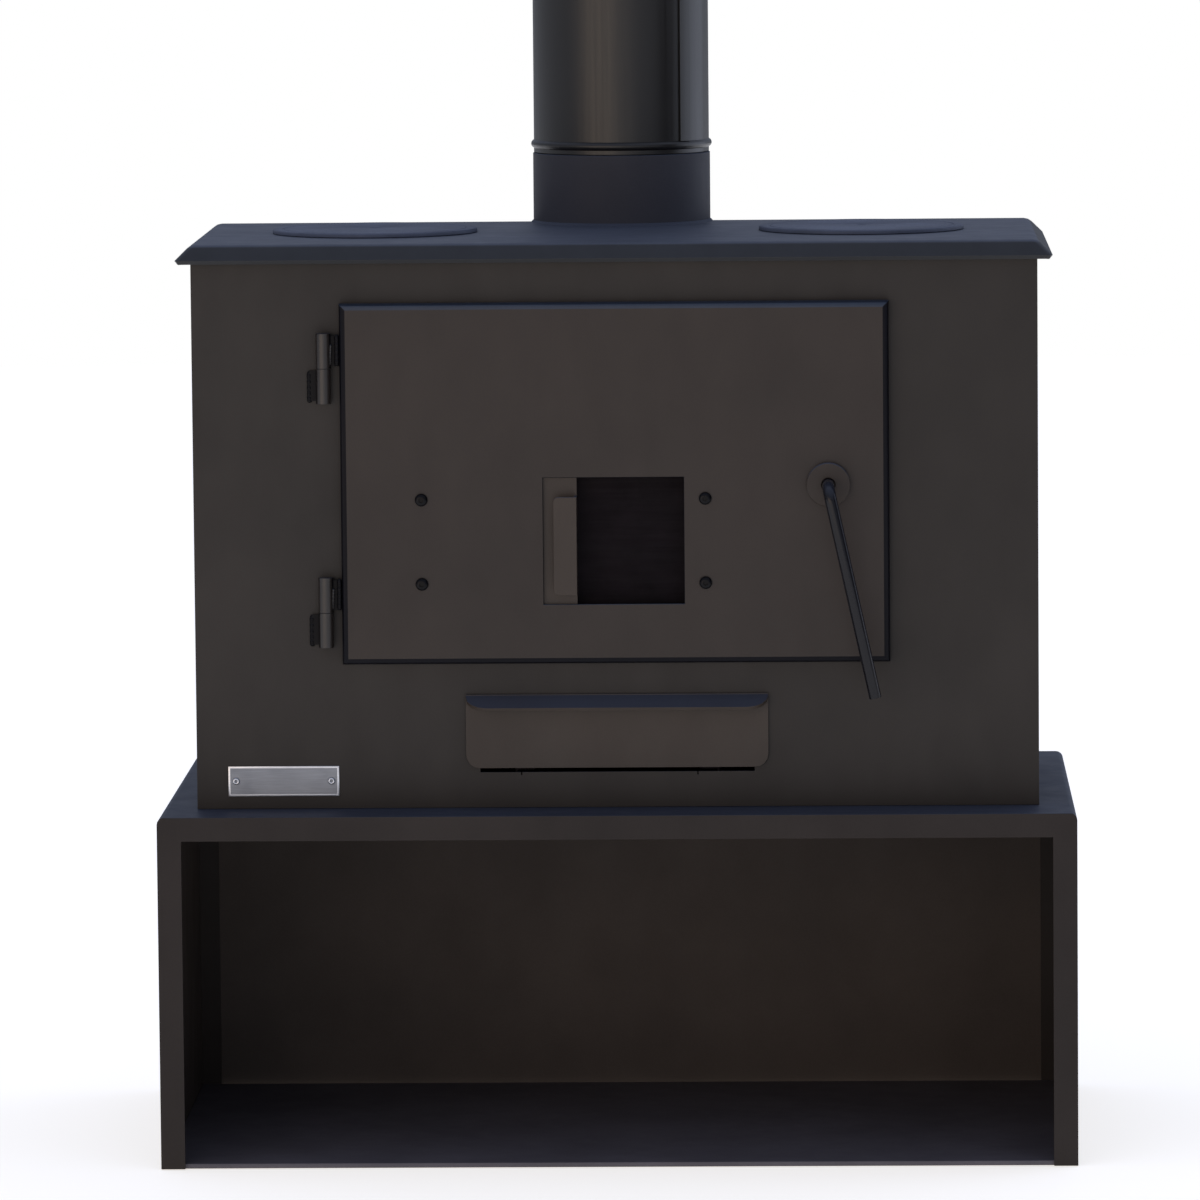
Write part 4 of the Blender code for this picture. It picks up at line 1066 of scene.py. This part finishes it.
class STOVE_OT_door(StoveFinish, bpy.types.Operator):
    """Finish the door pan and lay the braided rope round its inner edge"""

    bl_idname = "stove.door"
    bl_label = "Door"

    def execute(self, context):
        look = context.scene.stove_finishes
        sizes = context.scene.stove_sizes
        door = dressed("door_panel", "stove_paint", self.door_paint(), sizes.sheet_edge)
        # Painted shade: a near-black paint for the door's lower and side folds, standing in for the dark
        # reflections and shade there.
        tint = linear("#0d0d13")
        painted_shade_fold = self.paint("painted_shade_fold_paint", tint, roughness=0.42, specular=0.10, wear=0.0)
        # Painted highlight: a blue-grey paint for the door's upward folds, standing in for the sky reflected
        # there.
        tint = linear("#2b3443")
        dusted = self.paint("dusted_fold_paint", tint, roughness=0.40, specular=0.28, wear=0.0, dust=0.0)
        middle = centre_of("door_panel").y

        def is_fold(face):
            return -0.97 < face.normal.y < -0.05 and face.calc_center_median().y < middle

        # The near-black painted shade goes on folds that face down or sideways.
        second_finish(door, painted_shade_fold, lambda face: is_fold(face) and face.normal.z < 0.2)
        # The blue-grey painted highlight goes on folds that face up.
        second_finish(door, dusted, lambda face: is_fold(face) and face.normal.z >= 0.2)
        self.rope(sizes, look)
        return {"FINISHED"}

    def rope(self, sizes, look):
        """Three strands twisted round the seal's own centre line."""
        low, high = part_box("door_rope_seal")
        middle = (low + high) / 2
        radius = (high.y - low.y) / 2
        strand_r = radius * 0.52
        offset = radius - strand_r
        width = high.x - low.x - 2 * radius
        height = high.z - low.z - 2 * radius
        run, total = corner_run(width, height, SEAL_CORNER_R, sizes.rope_pitch / 10)
        turns = round(total / sizes.rope_pitch)
        strands = []
        for number in range(3):
            points = []
            for index, (x, z, out_x, out_z) in enumerate(run):
                angle = 2 * math.pi * (turns * index / len(run) + number / 3)
                out = offset * math.cos(angle)
                points.append(middle + Vector((x + out * out_x, offset * math.sin(angle), z + out * out_z)))
            strands.append(round_bar(f"rope_strand_{number + 1}", points, strand_r, 2))
        rope = joined("door_rope_braided", *strands)
        fibre = shared(glass_fibre_rope, "braided_glass_fibre", tuple(look.rope), linear("#5c5c60"))
        set_finish(rope, "door", "rope", fibre, "door_rope_seal")


class STOVE_OT_air_slide(StoveFinish, bpy.types.Operator):
    """Finish the air slide, its rails and the shield behind it, and model the button-head bolts"""

    bl_idname = "stove.air_slide"
    bl_label = "Air Slide"

    def execute(self, context):
        dressed("air_slide_plate", "stove_paint", self.slide_paint(), 0.0005)
        steel = self.steel()
        dressed("air_slide_rail_lower", "dark_steel", steel, FITTING_EDGE)
        dressed("air_slide_rail_upper", "dark_steel", steel, FITTING_EDGE)
        dressed("air_shield", "dark_steel", self.sooty_steel(), FITTING_EDGE)
        for index in range(1, 5):
            dressed(f"air_shield_spacer_{index}", "dark_steel", steel, 0.0003)
            dressed(f"air_shield_nut_{index}", "dark_steel", steel, FITTING_EDGE)
        self.bolts(context.scene.stove_sizes)
        return {"FINISHED"}

    def bolts(self, sizes):
        """One button-head socket bolt, copied to each corner of the shield."""
        tint = linear("#08080c")
        blacked = self.paint("blacked_fastener", tint, roughness=0.30, specular=0.14, wear=0.0, dust=0.0)
        low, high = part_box("air_shield_bolt_1")
        head_r = (high.x - low.x) / 2
        head_h = BOLT_HEAD_H
        length = high.y - low.y - head_h
        profile = [
            (head_r * 0.56, head_h),
            (head_r * 0.76, head_h * 0.86),
            (head_r * 0.90, head_h * 0.62),
            (head_r * 0.98, head_h * 0.34),
            (head_r, head_h * 0.14),
            (head_r, 0.0),
            (BOLT_SHANK_R, 0.0),
            (BOLT_SHANK_R, BOLT_POINT - length),
            (BOLT_SHANK_R - BOLT_POINT, -length),
        ]
        bolt = turned("air_shield_bolt_1_turned", profile, 48)
        depth = 2 * head_h * 0.6
        across = sizes.socket_across / math.sqrt(3)
        clear_selection()
        bpy.ops.mesh.primitive_cylinder_add(vertices=6, radius=across, depth=depth, location=(0, 0, head_h))
        cutter = start("socket_cutter")
        add_modifier(bolt, "BOOLEAN", object=cutter, operation="DIFFERENCE", solver="EXACT")
        bpy.data.objects.remove(cutter)
        smooth_round(bolt, 30)
        for index in (2, 3, 4):
            make_active(bolt)
            bpy.ops.object.duplicate(linked=False)
            copy = bpy.context.object
            copy.name = f"air_shield_bolt_{index}_turned"
            copy.data.name = copy.name
            self.fit_bolt(copy, index, blacked)
        self.fit_bolt(bolt, 1, blacked)

    def fit_bolt(self, bolt, index, finish):
        """Puts a bolt in its hole."""
        node = f"air_shield_bolt_{index}"
        low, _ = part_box(node)
        middle = centre_of(node)
        place(bolt, (middle.x, low.y + BOLT_HEAD_H, middle.z), "FRONT")
        set_finish(bolt, "door", "dark_steel", finish, node)


class STOVE_OT_handle(StoveFinish, bpy.types.Operator):
    """Model the bent bar handle and its boss, and finish the latch behind them"""

    bl_idname = "stove.handle"
    bl_label = "Handle and Latch"

    def execute(self, context):
        look = context.scene.stove_finishes
        # A little painted sky light on the handle's upper faces.
        satin = {"roughness": 0.22, "specular": 0.26, "wear": 0.0, "dust": 0.3}
        self.bar(self.paint("satin_handle_paint", look.handle_paint, **satin))
        self.boss(self.door_paint())
        steel = self.steel()
        for node in ("latch_cam", "latch_keeper", "spindle_bush", "spindle_nut"):
            dressed(node, "dark_steel", steel, 0.0005)
        return {"FINISHED"}

    def bar(self, paint):
        """One bar: the spindle, a bend and the leaning grip, cut off square."""
        low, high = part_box("door_handle")
        spindle = Vector((low.x + BAR_R, high.y, high.z - BAR_R))
        down = Vector((math.sin(BAR_LEAN), 0, -math.cos(BAR_LEAN)))
        bend_y = low.y + BAR_R + BAR_BEND
        reach = (spindle.z - low.z - BAR_R * math.sin(BAR_LEAN)) / math.cos(BAR_LEAN)
        clear_selection()
        upright = (math.pi / 2, 0, 0)
        bpy.ops.mesh.primitive_circle_add(
            vertices=40, radius=BAR_R, fill_type="NGON", location=spindle, rotation=upright
        )
        handle = start("door_handle_bar")
        bpy.ops.object.mode_set(mode="EDIT")
        bpy.ops.mesh.select_mode(type="FACE")
        bpy.ops.mesh.select_all(action="SELECT")
        straight = {"value": (0, bend_y - spindle.y, 0)}
        bpy.ops.mesh.extrude_region_move(TRANSFORM_OT_translate=straight)
        middle = Vector((spindle.x, bend_y, spindle.z)) + down * BAR_BEND
        axis = down.cross(Vector((0, -1, 0)))
        bpy.ops.mesh.spin(steps=14, angle=math.pi / 2, center=middle, axis=axis)
        grip = {"value": down * (reach - BAR_BEND)}
        bpy.ops.mesh.extrude_region_move(TRANSFORM_OT_translate=grip)
        pick("EDGE", lambda edge: any(len(face.verts) > 8 for face in edge.link_faces))
        bpy.ops.mesh.bevel(offset=BAR_END_EDGE, segments=2, affect="EDGES")
        bpy.ops.mesh.select_all(action="SELECT")
        bpy.ops.mesh.normals_make_consistent(inside=False)
        bpy.ops.object.mode_set(mode="OBJECT")
        smooth_round(handle, 30)
        set_finish(handle, "handle", "stove_paint", paint, "door_handle")

    def boss(self, paint):
        """A turned washer behind the spindle, with eased edges."""
        low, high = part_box("handle_boss")
        outer = (high.x - low.x) / 2
        thick = high.y - low.y
        profile = [
            (BOSS_HOLE_R, thick - BOSS_EDGE),
            (BOSS_HOLE_R + BOSS_EDGE, thick),
            (outer - BOSS_EDGE, thick),
            (outer, thick - BOSS_EDGE),
            (outer, 0.0),
            (BOSS_HOLE_R, 0.0),
        ]
        boss = turned("handle_boss_turned", profile, 96, ring=True)
        middle = centre_of("handle_boss")
        place(boss, (middle.x, high.y, middle.z), "FRONT")
        smooth_round(boss)
        body = frame["nodes"]["handle_boss"]["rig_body"]
        set_finish(boss, body, "stove_paint", paint, "handle_boss")


class STOVE_OT_hinges(StoveFinish, bpy.types.Operator):
    """Finish the lift-off hinges and weld them on"""

    bl_idname = "stove.hinges"
    bl_label = "Hinges"

    def execute(self, context):
        look = context.scene.stove_finishes
        # Painted sky light on the hinges' upper faces: strong on the barrels, faint on the darker leaves and
        # welds.
        satin = {"roughness": 0.30, "specular": 0.5, "wear": 0.0, "dust": 0.5}
        paint = self.paint("satin_hinge_paint", look.hinge_paint, **satin)
        # Darker paint for the hinge leaves beside the barrels and for the weld beads.
        dull = {"roughness": 0.44, "specular": 0.12, "wear": 0.0, "dust": 0.1}
        darker_paint = self.paint("dark_leaf_and_weld_paint", linear("#0a090c"), **dull)
        edge = context.scene.stove_sizes.sheet_edge
        for level in ("lower", "upper"):
            body_half = dressed(f"hinge_{level}_body_knuckle", "stove_paint", paint, edge)
            door_half = dressed(f"hinge_{level}_door_knuckle", "stove_paint", paint, edge)
            axis_x = centre_of(f"hinge_{level}_pin").x
            beyond = BARREL_R * 0.9
            second_finish(body_half, darker_paint, lambda face: face.calc_center_median().x < axis_x - beyond)
            second_finish(door_half, darker_paint, lambda face: face.calc_center_median().x > axis_x + beyond)
            dressed(f"hinge_{level}_pin", "dark_steel", self.steel(), 0.0003)
            self.welds(level, axis_x, paint, darker_paint)
        return {"FINISHED"}

    def welds(self, level, axis_x, paint, darker_paint):
        """The beads that hold one hinge: on the body, on the door and on the upper barrel."""
        radius = LEAF_WELD_R
        low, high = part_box(f"hinge_{level}_body_knuckle")
        y = high.y - radius * 0.6
        run = ((low.x, y, high.z - LEAF_LENGTH), (low.x, y, high.z - LEAF_WELD_INSET))
        weld = weld_bead(f"hinge_{level}_body_weld", *run, radius)
        set_finish(weld, "stove", "stove_paint", darker_paint)
        low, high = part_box(f"hinge_{level}_door_knuckle")
        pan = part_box("door_panel")[0]
        x = high.x - radius * 0.8
        y = pan.y + (high.y - pan.y) * 0.42
        foot = low.z + LEAF_WELD_INSET
        run = ((x, y, foot), (x, y, low.z + LEAF_LENGTH))
        weld = weld_bead(f"hinge_{level}_door_weld", *run, radius)
        set_finish(weld, "door", "stove_paint", darker_paint)
        x = axis_x + BARREL_R * 0.86
        run = ((x, y, foot), (x + 0.0008, y, low.z + LEAF_LENGTH * 0.7))
        weld = weld_bead(f"hinge_{level}_barrel_weld", *run, radius * 0.6)
        set_finish(weld, "door", "stove_paint", paint)


class STOVE_OT_ash_drawer(StoveFinish, bpy.types.Operator):
    """Finish the ash drawer's front, its tray and the runners"""

    bl_idname = "stove.ash_drawer"
    bl_label = "Ash Drawer"

    def execute(self, context):
        look = context.scene.stove_finishes
        dressed("ash_drawer_front", "stove_paint", self.slide_paint(), context.scene.stove_sizes.sheet_edge)
        zinc = shared(galvanised_sheet, "galvanised_sheet", linear("#3c3e40"), tuple(look.zinc))
        dressed("ash_drawer_tray", "galvanised", zinc, FITTING_EDGE)
        for side in ("left", "right"):
            dressed(f"ash_drawer_runner_{side}", "dark_steel", self.sooty_steel(), FITTING_EDGE)
        return {"FINISHED"}


class STOVE_OT_lining(StoveFinish, bpy.types.Operator):
    """Finish the firebricks, baffle, grate and log retainer"""

    bl_idname = "stove.lining"
    bl_label = "Lining"

    def execute(self, context):
        look = context.scene.stove_finishes
        tints = (tuple(look.brick), tuple(look.mica), linear("#1c1a18"))
        brick = shared(pressed_firebrick, "pressed_vermiculite_brick", *tints)
        for side in ("left", "right", "back_left", "back_right"):
            dressed(f"firebrick_{side}", "firebrick", brick, 0.0012)
        edge = context.scene.stove_sizes.sheet_edge
        dressed("baffle_plate", "dark_steel", self.sooty_steel(), edge)
        dressed("log_retainer", "dark_steel", self.steel(), edge)
        iron = shared(blacked_cast_iron, "sand_cast_iron", linear("#26241f"), 0.75)
        dressed("grate", "cast_iron", iron, 0.0010)
        return {"FINISHED"}


class STOVE_OT_badge(StoveFinish, bpy.types.Operator):
    """Model the plain badge plate with its raised border, and its two eyelet rivets"""

    bl_idname = "stove.badge"
    bl_label = "Badge"

    def execute(self, context):
        look = context.scene.stove_finishes
        bright = shared(brushed_aluminium, "brushed_aluminium", tuple(look.plate), 0.34)
        field = shared(brushed_aluminium, "bead_blasted_aluminium", linear("#84888f"), 0.5)
        self.plate(bright, field)
        for side in ("left", "right"):
            self.eyelet(side, bright)
        return {"FINISHED"}

    def plate(self, bright, field):
        """A thin plate whose field is sunk a little inside a bright border."""
        low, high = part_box("badge_plate")
        plate = eased_block("badge_plate_bordered", low, high, BADGE_EDGE)
        bpy.ops.object.mode_set(mode="EDIT")

        def is_field(face):
            return face.normal.y < -0.99 and face.calc_area() > BADGE_FIELD_AREA

        pick("FACE", is_field)
        bpy.ops.mesh.inset(thickness=BADGE_BORDER, depth=0.0)
        bpy.ops.mesh.extrude_region_move(TRANSFORM_OT_translate={"value": (0, BADGE_SUNK, 0)})
        bpy.ops.object.mode_set(mode="OBJECT")
        smooth_round(plate, 30)
        set_finish(plate, "stove", "badge_metal", bright, "badge_plate")
        second_finish(plate, field, is_field)

    def eyelet(self, side, bright):
        """A hollow rivet with a rolled ring round its hole."""
        node = f"badge_rivet_{side}"
        low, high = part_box(node)
        middle = (low + high) / 2
        outer = (high.x - low.x) / 2
        head = RIVET_HEAD_H
        hole = outer * 0.36
        length = high.y - low.y - head
        profile = [
            (hole, -length * 0.5),
            (hole, head * 0.70),
            (hole + outer * 0.10, head * 0.93),
            (outer * 0.66, head),
            (outer * 0.84, head * 0.84),
            (outer * 0.96, head * 0.45),
            (outer, 0.0),
            (RIVET_SHANK_R, 0.0),
            (RIVET_SHANK_R, -length),
        ]
        rivet = turned(f"badge_rivet_{side}_eyelet", profile, 40)
        place(rivet, (middle.x, low.y + head, middle.z), "FRONT")
        smooth_round(rivet, 40)
        set_finish(rivet, "stove", "badge_metal", bright, node)


# ---------------------------------------------------------------------------------------------
# Stage
# ---------------------------------------------------------------------------------------------


class STOVE_OT_stage(bpy.types.Operator):
    """Set the pale floor, the soft light and the camera"""

    bl_idname = "stove.stage"
    bl_label = "Stage"

    def execute(self, context):
        self.floor(context.scene.stove_finishes)
        self.lights()
        self.surroundings(context.scene)
        self.camera(context.scene)
        return {"FINISHED"}

    def floor(self, look):
        """A round pale floor that the stove stands on."""
        clear_selection()
        spot = (0, 0, -FLOOR_CLEARANCE)
        bpy.ops.mesh.primitive_circle_add(vertices=96, radius=FLOOR_R, fill_type="NGON", location=spot)
        floor = start("studio_floor")
        acrylic = pale_floor_finish("backlit_white_acrylic", tuple(look.paper), linear("#fffaf0"))
        floor.data.materials.append(acrylic)

    def lights(self):
        """A warm light in front on the left, a cool one on the right and a soft one straight in front."""
        panels = [
            ("warm_front_left", (-2.55, -4.4, 1.1), (4.0, 1.8), 40.0, "#ffe4c8"),
            ("cool_right", (3.4, 1.4, 1.2), (3.2, 2.4), 26.0, "#dfe8ff"),
            ("soft_front", (0.2, -6.4, 0.9), (3.2, 1.6), 14.0, "#ffeedd"),
        ]
        self.flag()
        clear_selection()
        aim = Vector((0, 0, 0.6))
        for name, spot, size, power, tint in panels:
            bpy.ops.object.light_add(type="AREA", location=spot)
            lamp = bpy.context.object
            lamp.name = name
            lamp.data.shape = "RECTANGLE"
            lamp.data.size = size[0]
            lamp.data.size_y = size[1]
            lamp.data.energy = power
            lamp.data.color = linear(tint)
            lamp.rotation_euler = (aim - Vector(spot)).to_track_quat("-Z", "Y").to_euler()
            lamp.visible_camera = False

    def flag(self):
        """A black flag on the right that keeps the right of the round pipe and of the folds dark."""
        clear_selection()
        upright = (math.pi / 2, 0, math.radians(65))
        bpy.ops.mesh.primitive_plane_add(size=1, location=(2.17, -0.87, 1.1), rotation=upright)
        bpy.ops.transform.resize(value=(1.0, 1.0, 2.2))
        flag = start("black_flag")
        flag.data.materials.append(dull_black_cloth("black_velvet", linear("#050505")))
        flag.visible_camera = False

    def surroundings(self, scene):
        """White paper behind everything; the stove itself is lit by a dim cool room."""
        world = bpy.data.worlds.new("studio")
        scene.world = world
        world.use_nodes = True
        tree = world.node_tree
        tree.nodes.clear()
        seen = put(tree, "ShaderNodeLightPath")
        paper = put(tree, "ShaderNodeBackground", {"Color": (1, 1, 1, 1), "Strength": 1.0})
        way = put(tree, "ShaderNodeTexCoord")
        parts = put(tree, "ShaderNodeSeparateXYZ", {0: way.outputs["Generated"]})
        height = ramp(tree, parts.outputs["Z"], 0.0, 1.0, 0.0, 0.9)
        sky = mixed(tree, height, (0.25, 0.27, 0.315, 1), (0.50, 0.56, 0.74, 1))
        room = put(tree, "ShaderNodeBackground", {"Color": sky, "Strength": 1.0})
        ends = {1: room.outputs["Background"], 2: paper.outputs["Background"]}
        both = put(tree, "ShaderNodeMixShader", {0: seen.outputs["Is Camera Ray"], **ends})
        put(tree, "ShaderNodeOutputWorld", {"Surface": both.outputs["Shader"]})
        scene.view_settings.view_transform = "Standard"

    def camera(self, scene):
        """A long lens a little above the stove, looking slightly down and to the left."""
        yaw = math.radians(-1.582)
        pitch = math.radians(5.807)
        roll = math.radians(-0.499)
        ahead = Vector((math.sin(yaw) * math.cos(pitch), math.cos(yaw) * math.cos(pitch), -math.sin(pitch)))
        level = Vector((math.cos(yaw), -math.sin(yaw), 0))
        upright = level.cross(ahead)
        right = math.cos(roll) * level + math.sin(roll) * upright
        up = -math.sin(roll) * level + math.cos(roll) * upright
        bpy.ops.object.camera_add()
        camera = bpy.context.object
        camera.name = "front_camera"
        camera.data.sensor_width = 36.0
        camera.data.lens = 252.0
        camera.data.clip_end = 100.0
        turn = Matrix((right, up, -ahead)).transposed()
        camera.matrix_world = Matrix.Translation((0.178, -7.088, 1.172)) @ turn.to_4x4()
        scene.camera = camera


# ---------------------------------------------------------------------------------------------
# Panel and registration
# ---------------------------------------------------------------------------------------------

STEPS = (
    STOVE_OT_stand,
    STOVE_OT_body,
    STOVE_OT_top_plate,
    STOVE_OT_hob_discs,
    STOVE_OT_flue,
    STOVE_OT_door,
    STOVE_OT_air_slide,
    STOVE_OT_handle,
    STOVE_OT_hinges,
    STOVE_OT_ash_drawer,
    STOVE_OT_lining,
    STOVE_OT_badge,
    STOVE_OT_stage,
)


class STOVE_PT_panel(bpy.types.Panel):
    """Lists the settings and the steps"""

    bl_idname = "STOVE_PT_panel"
    bl_label = "Wood Burning Stove"
    bl_space_type = "VIEW_3D"
    bl_region_type = "UI"
    bl_category = "Stove"

    def draw(self, context):
        for step in STEPS:
            self.layout.operator(step.bl_idname)
        for group in (context.scene.stove_sizes, context.scene.stove_finishes):
            box = self.layout.box()
            for name in group.__annotations__:
                box.prop(group, name)


CLASSES = (StoveFinishes, StoveSizes, *STEPS, STOVE_PT_panel)


def register():
    """Registers the classes and puts the settings on the scene."""
    for cls in CLASSES:
        bpy.utils.register_class(cls)
    bpy.types.Scene.stove_finishes = bpy.props.PointerProperty(type=StoveFinishes)
    bpy.types.Scene.stove_sizes = bpy.props.PointerProperty(type=StoveSizes)


def unregister():
    """Takes the settings and the classes away again."""
    del bpy.types.Scene.stove_sizes
    del bpy.types.Scene.stove_finishes
    for cls in reversed(CLASSES):
        bpy.utils.unregister_class(cls)


def main():
    """Finishes every piece in turn."""
    register()
    for step in STEPS:
        group, name = step.bl_idname.split(".")
        getattr(getattr(bpy.ops, group), name)()


if __name__ == "__main__":
    main()
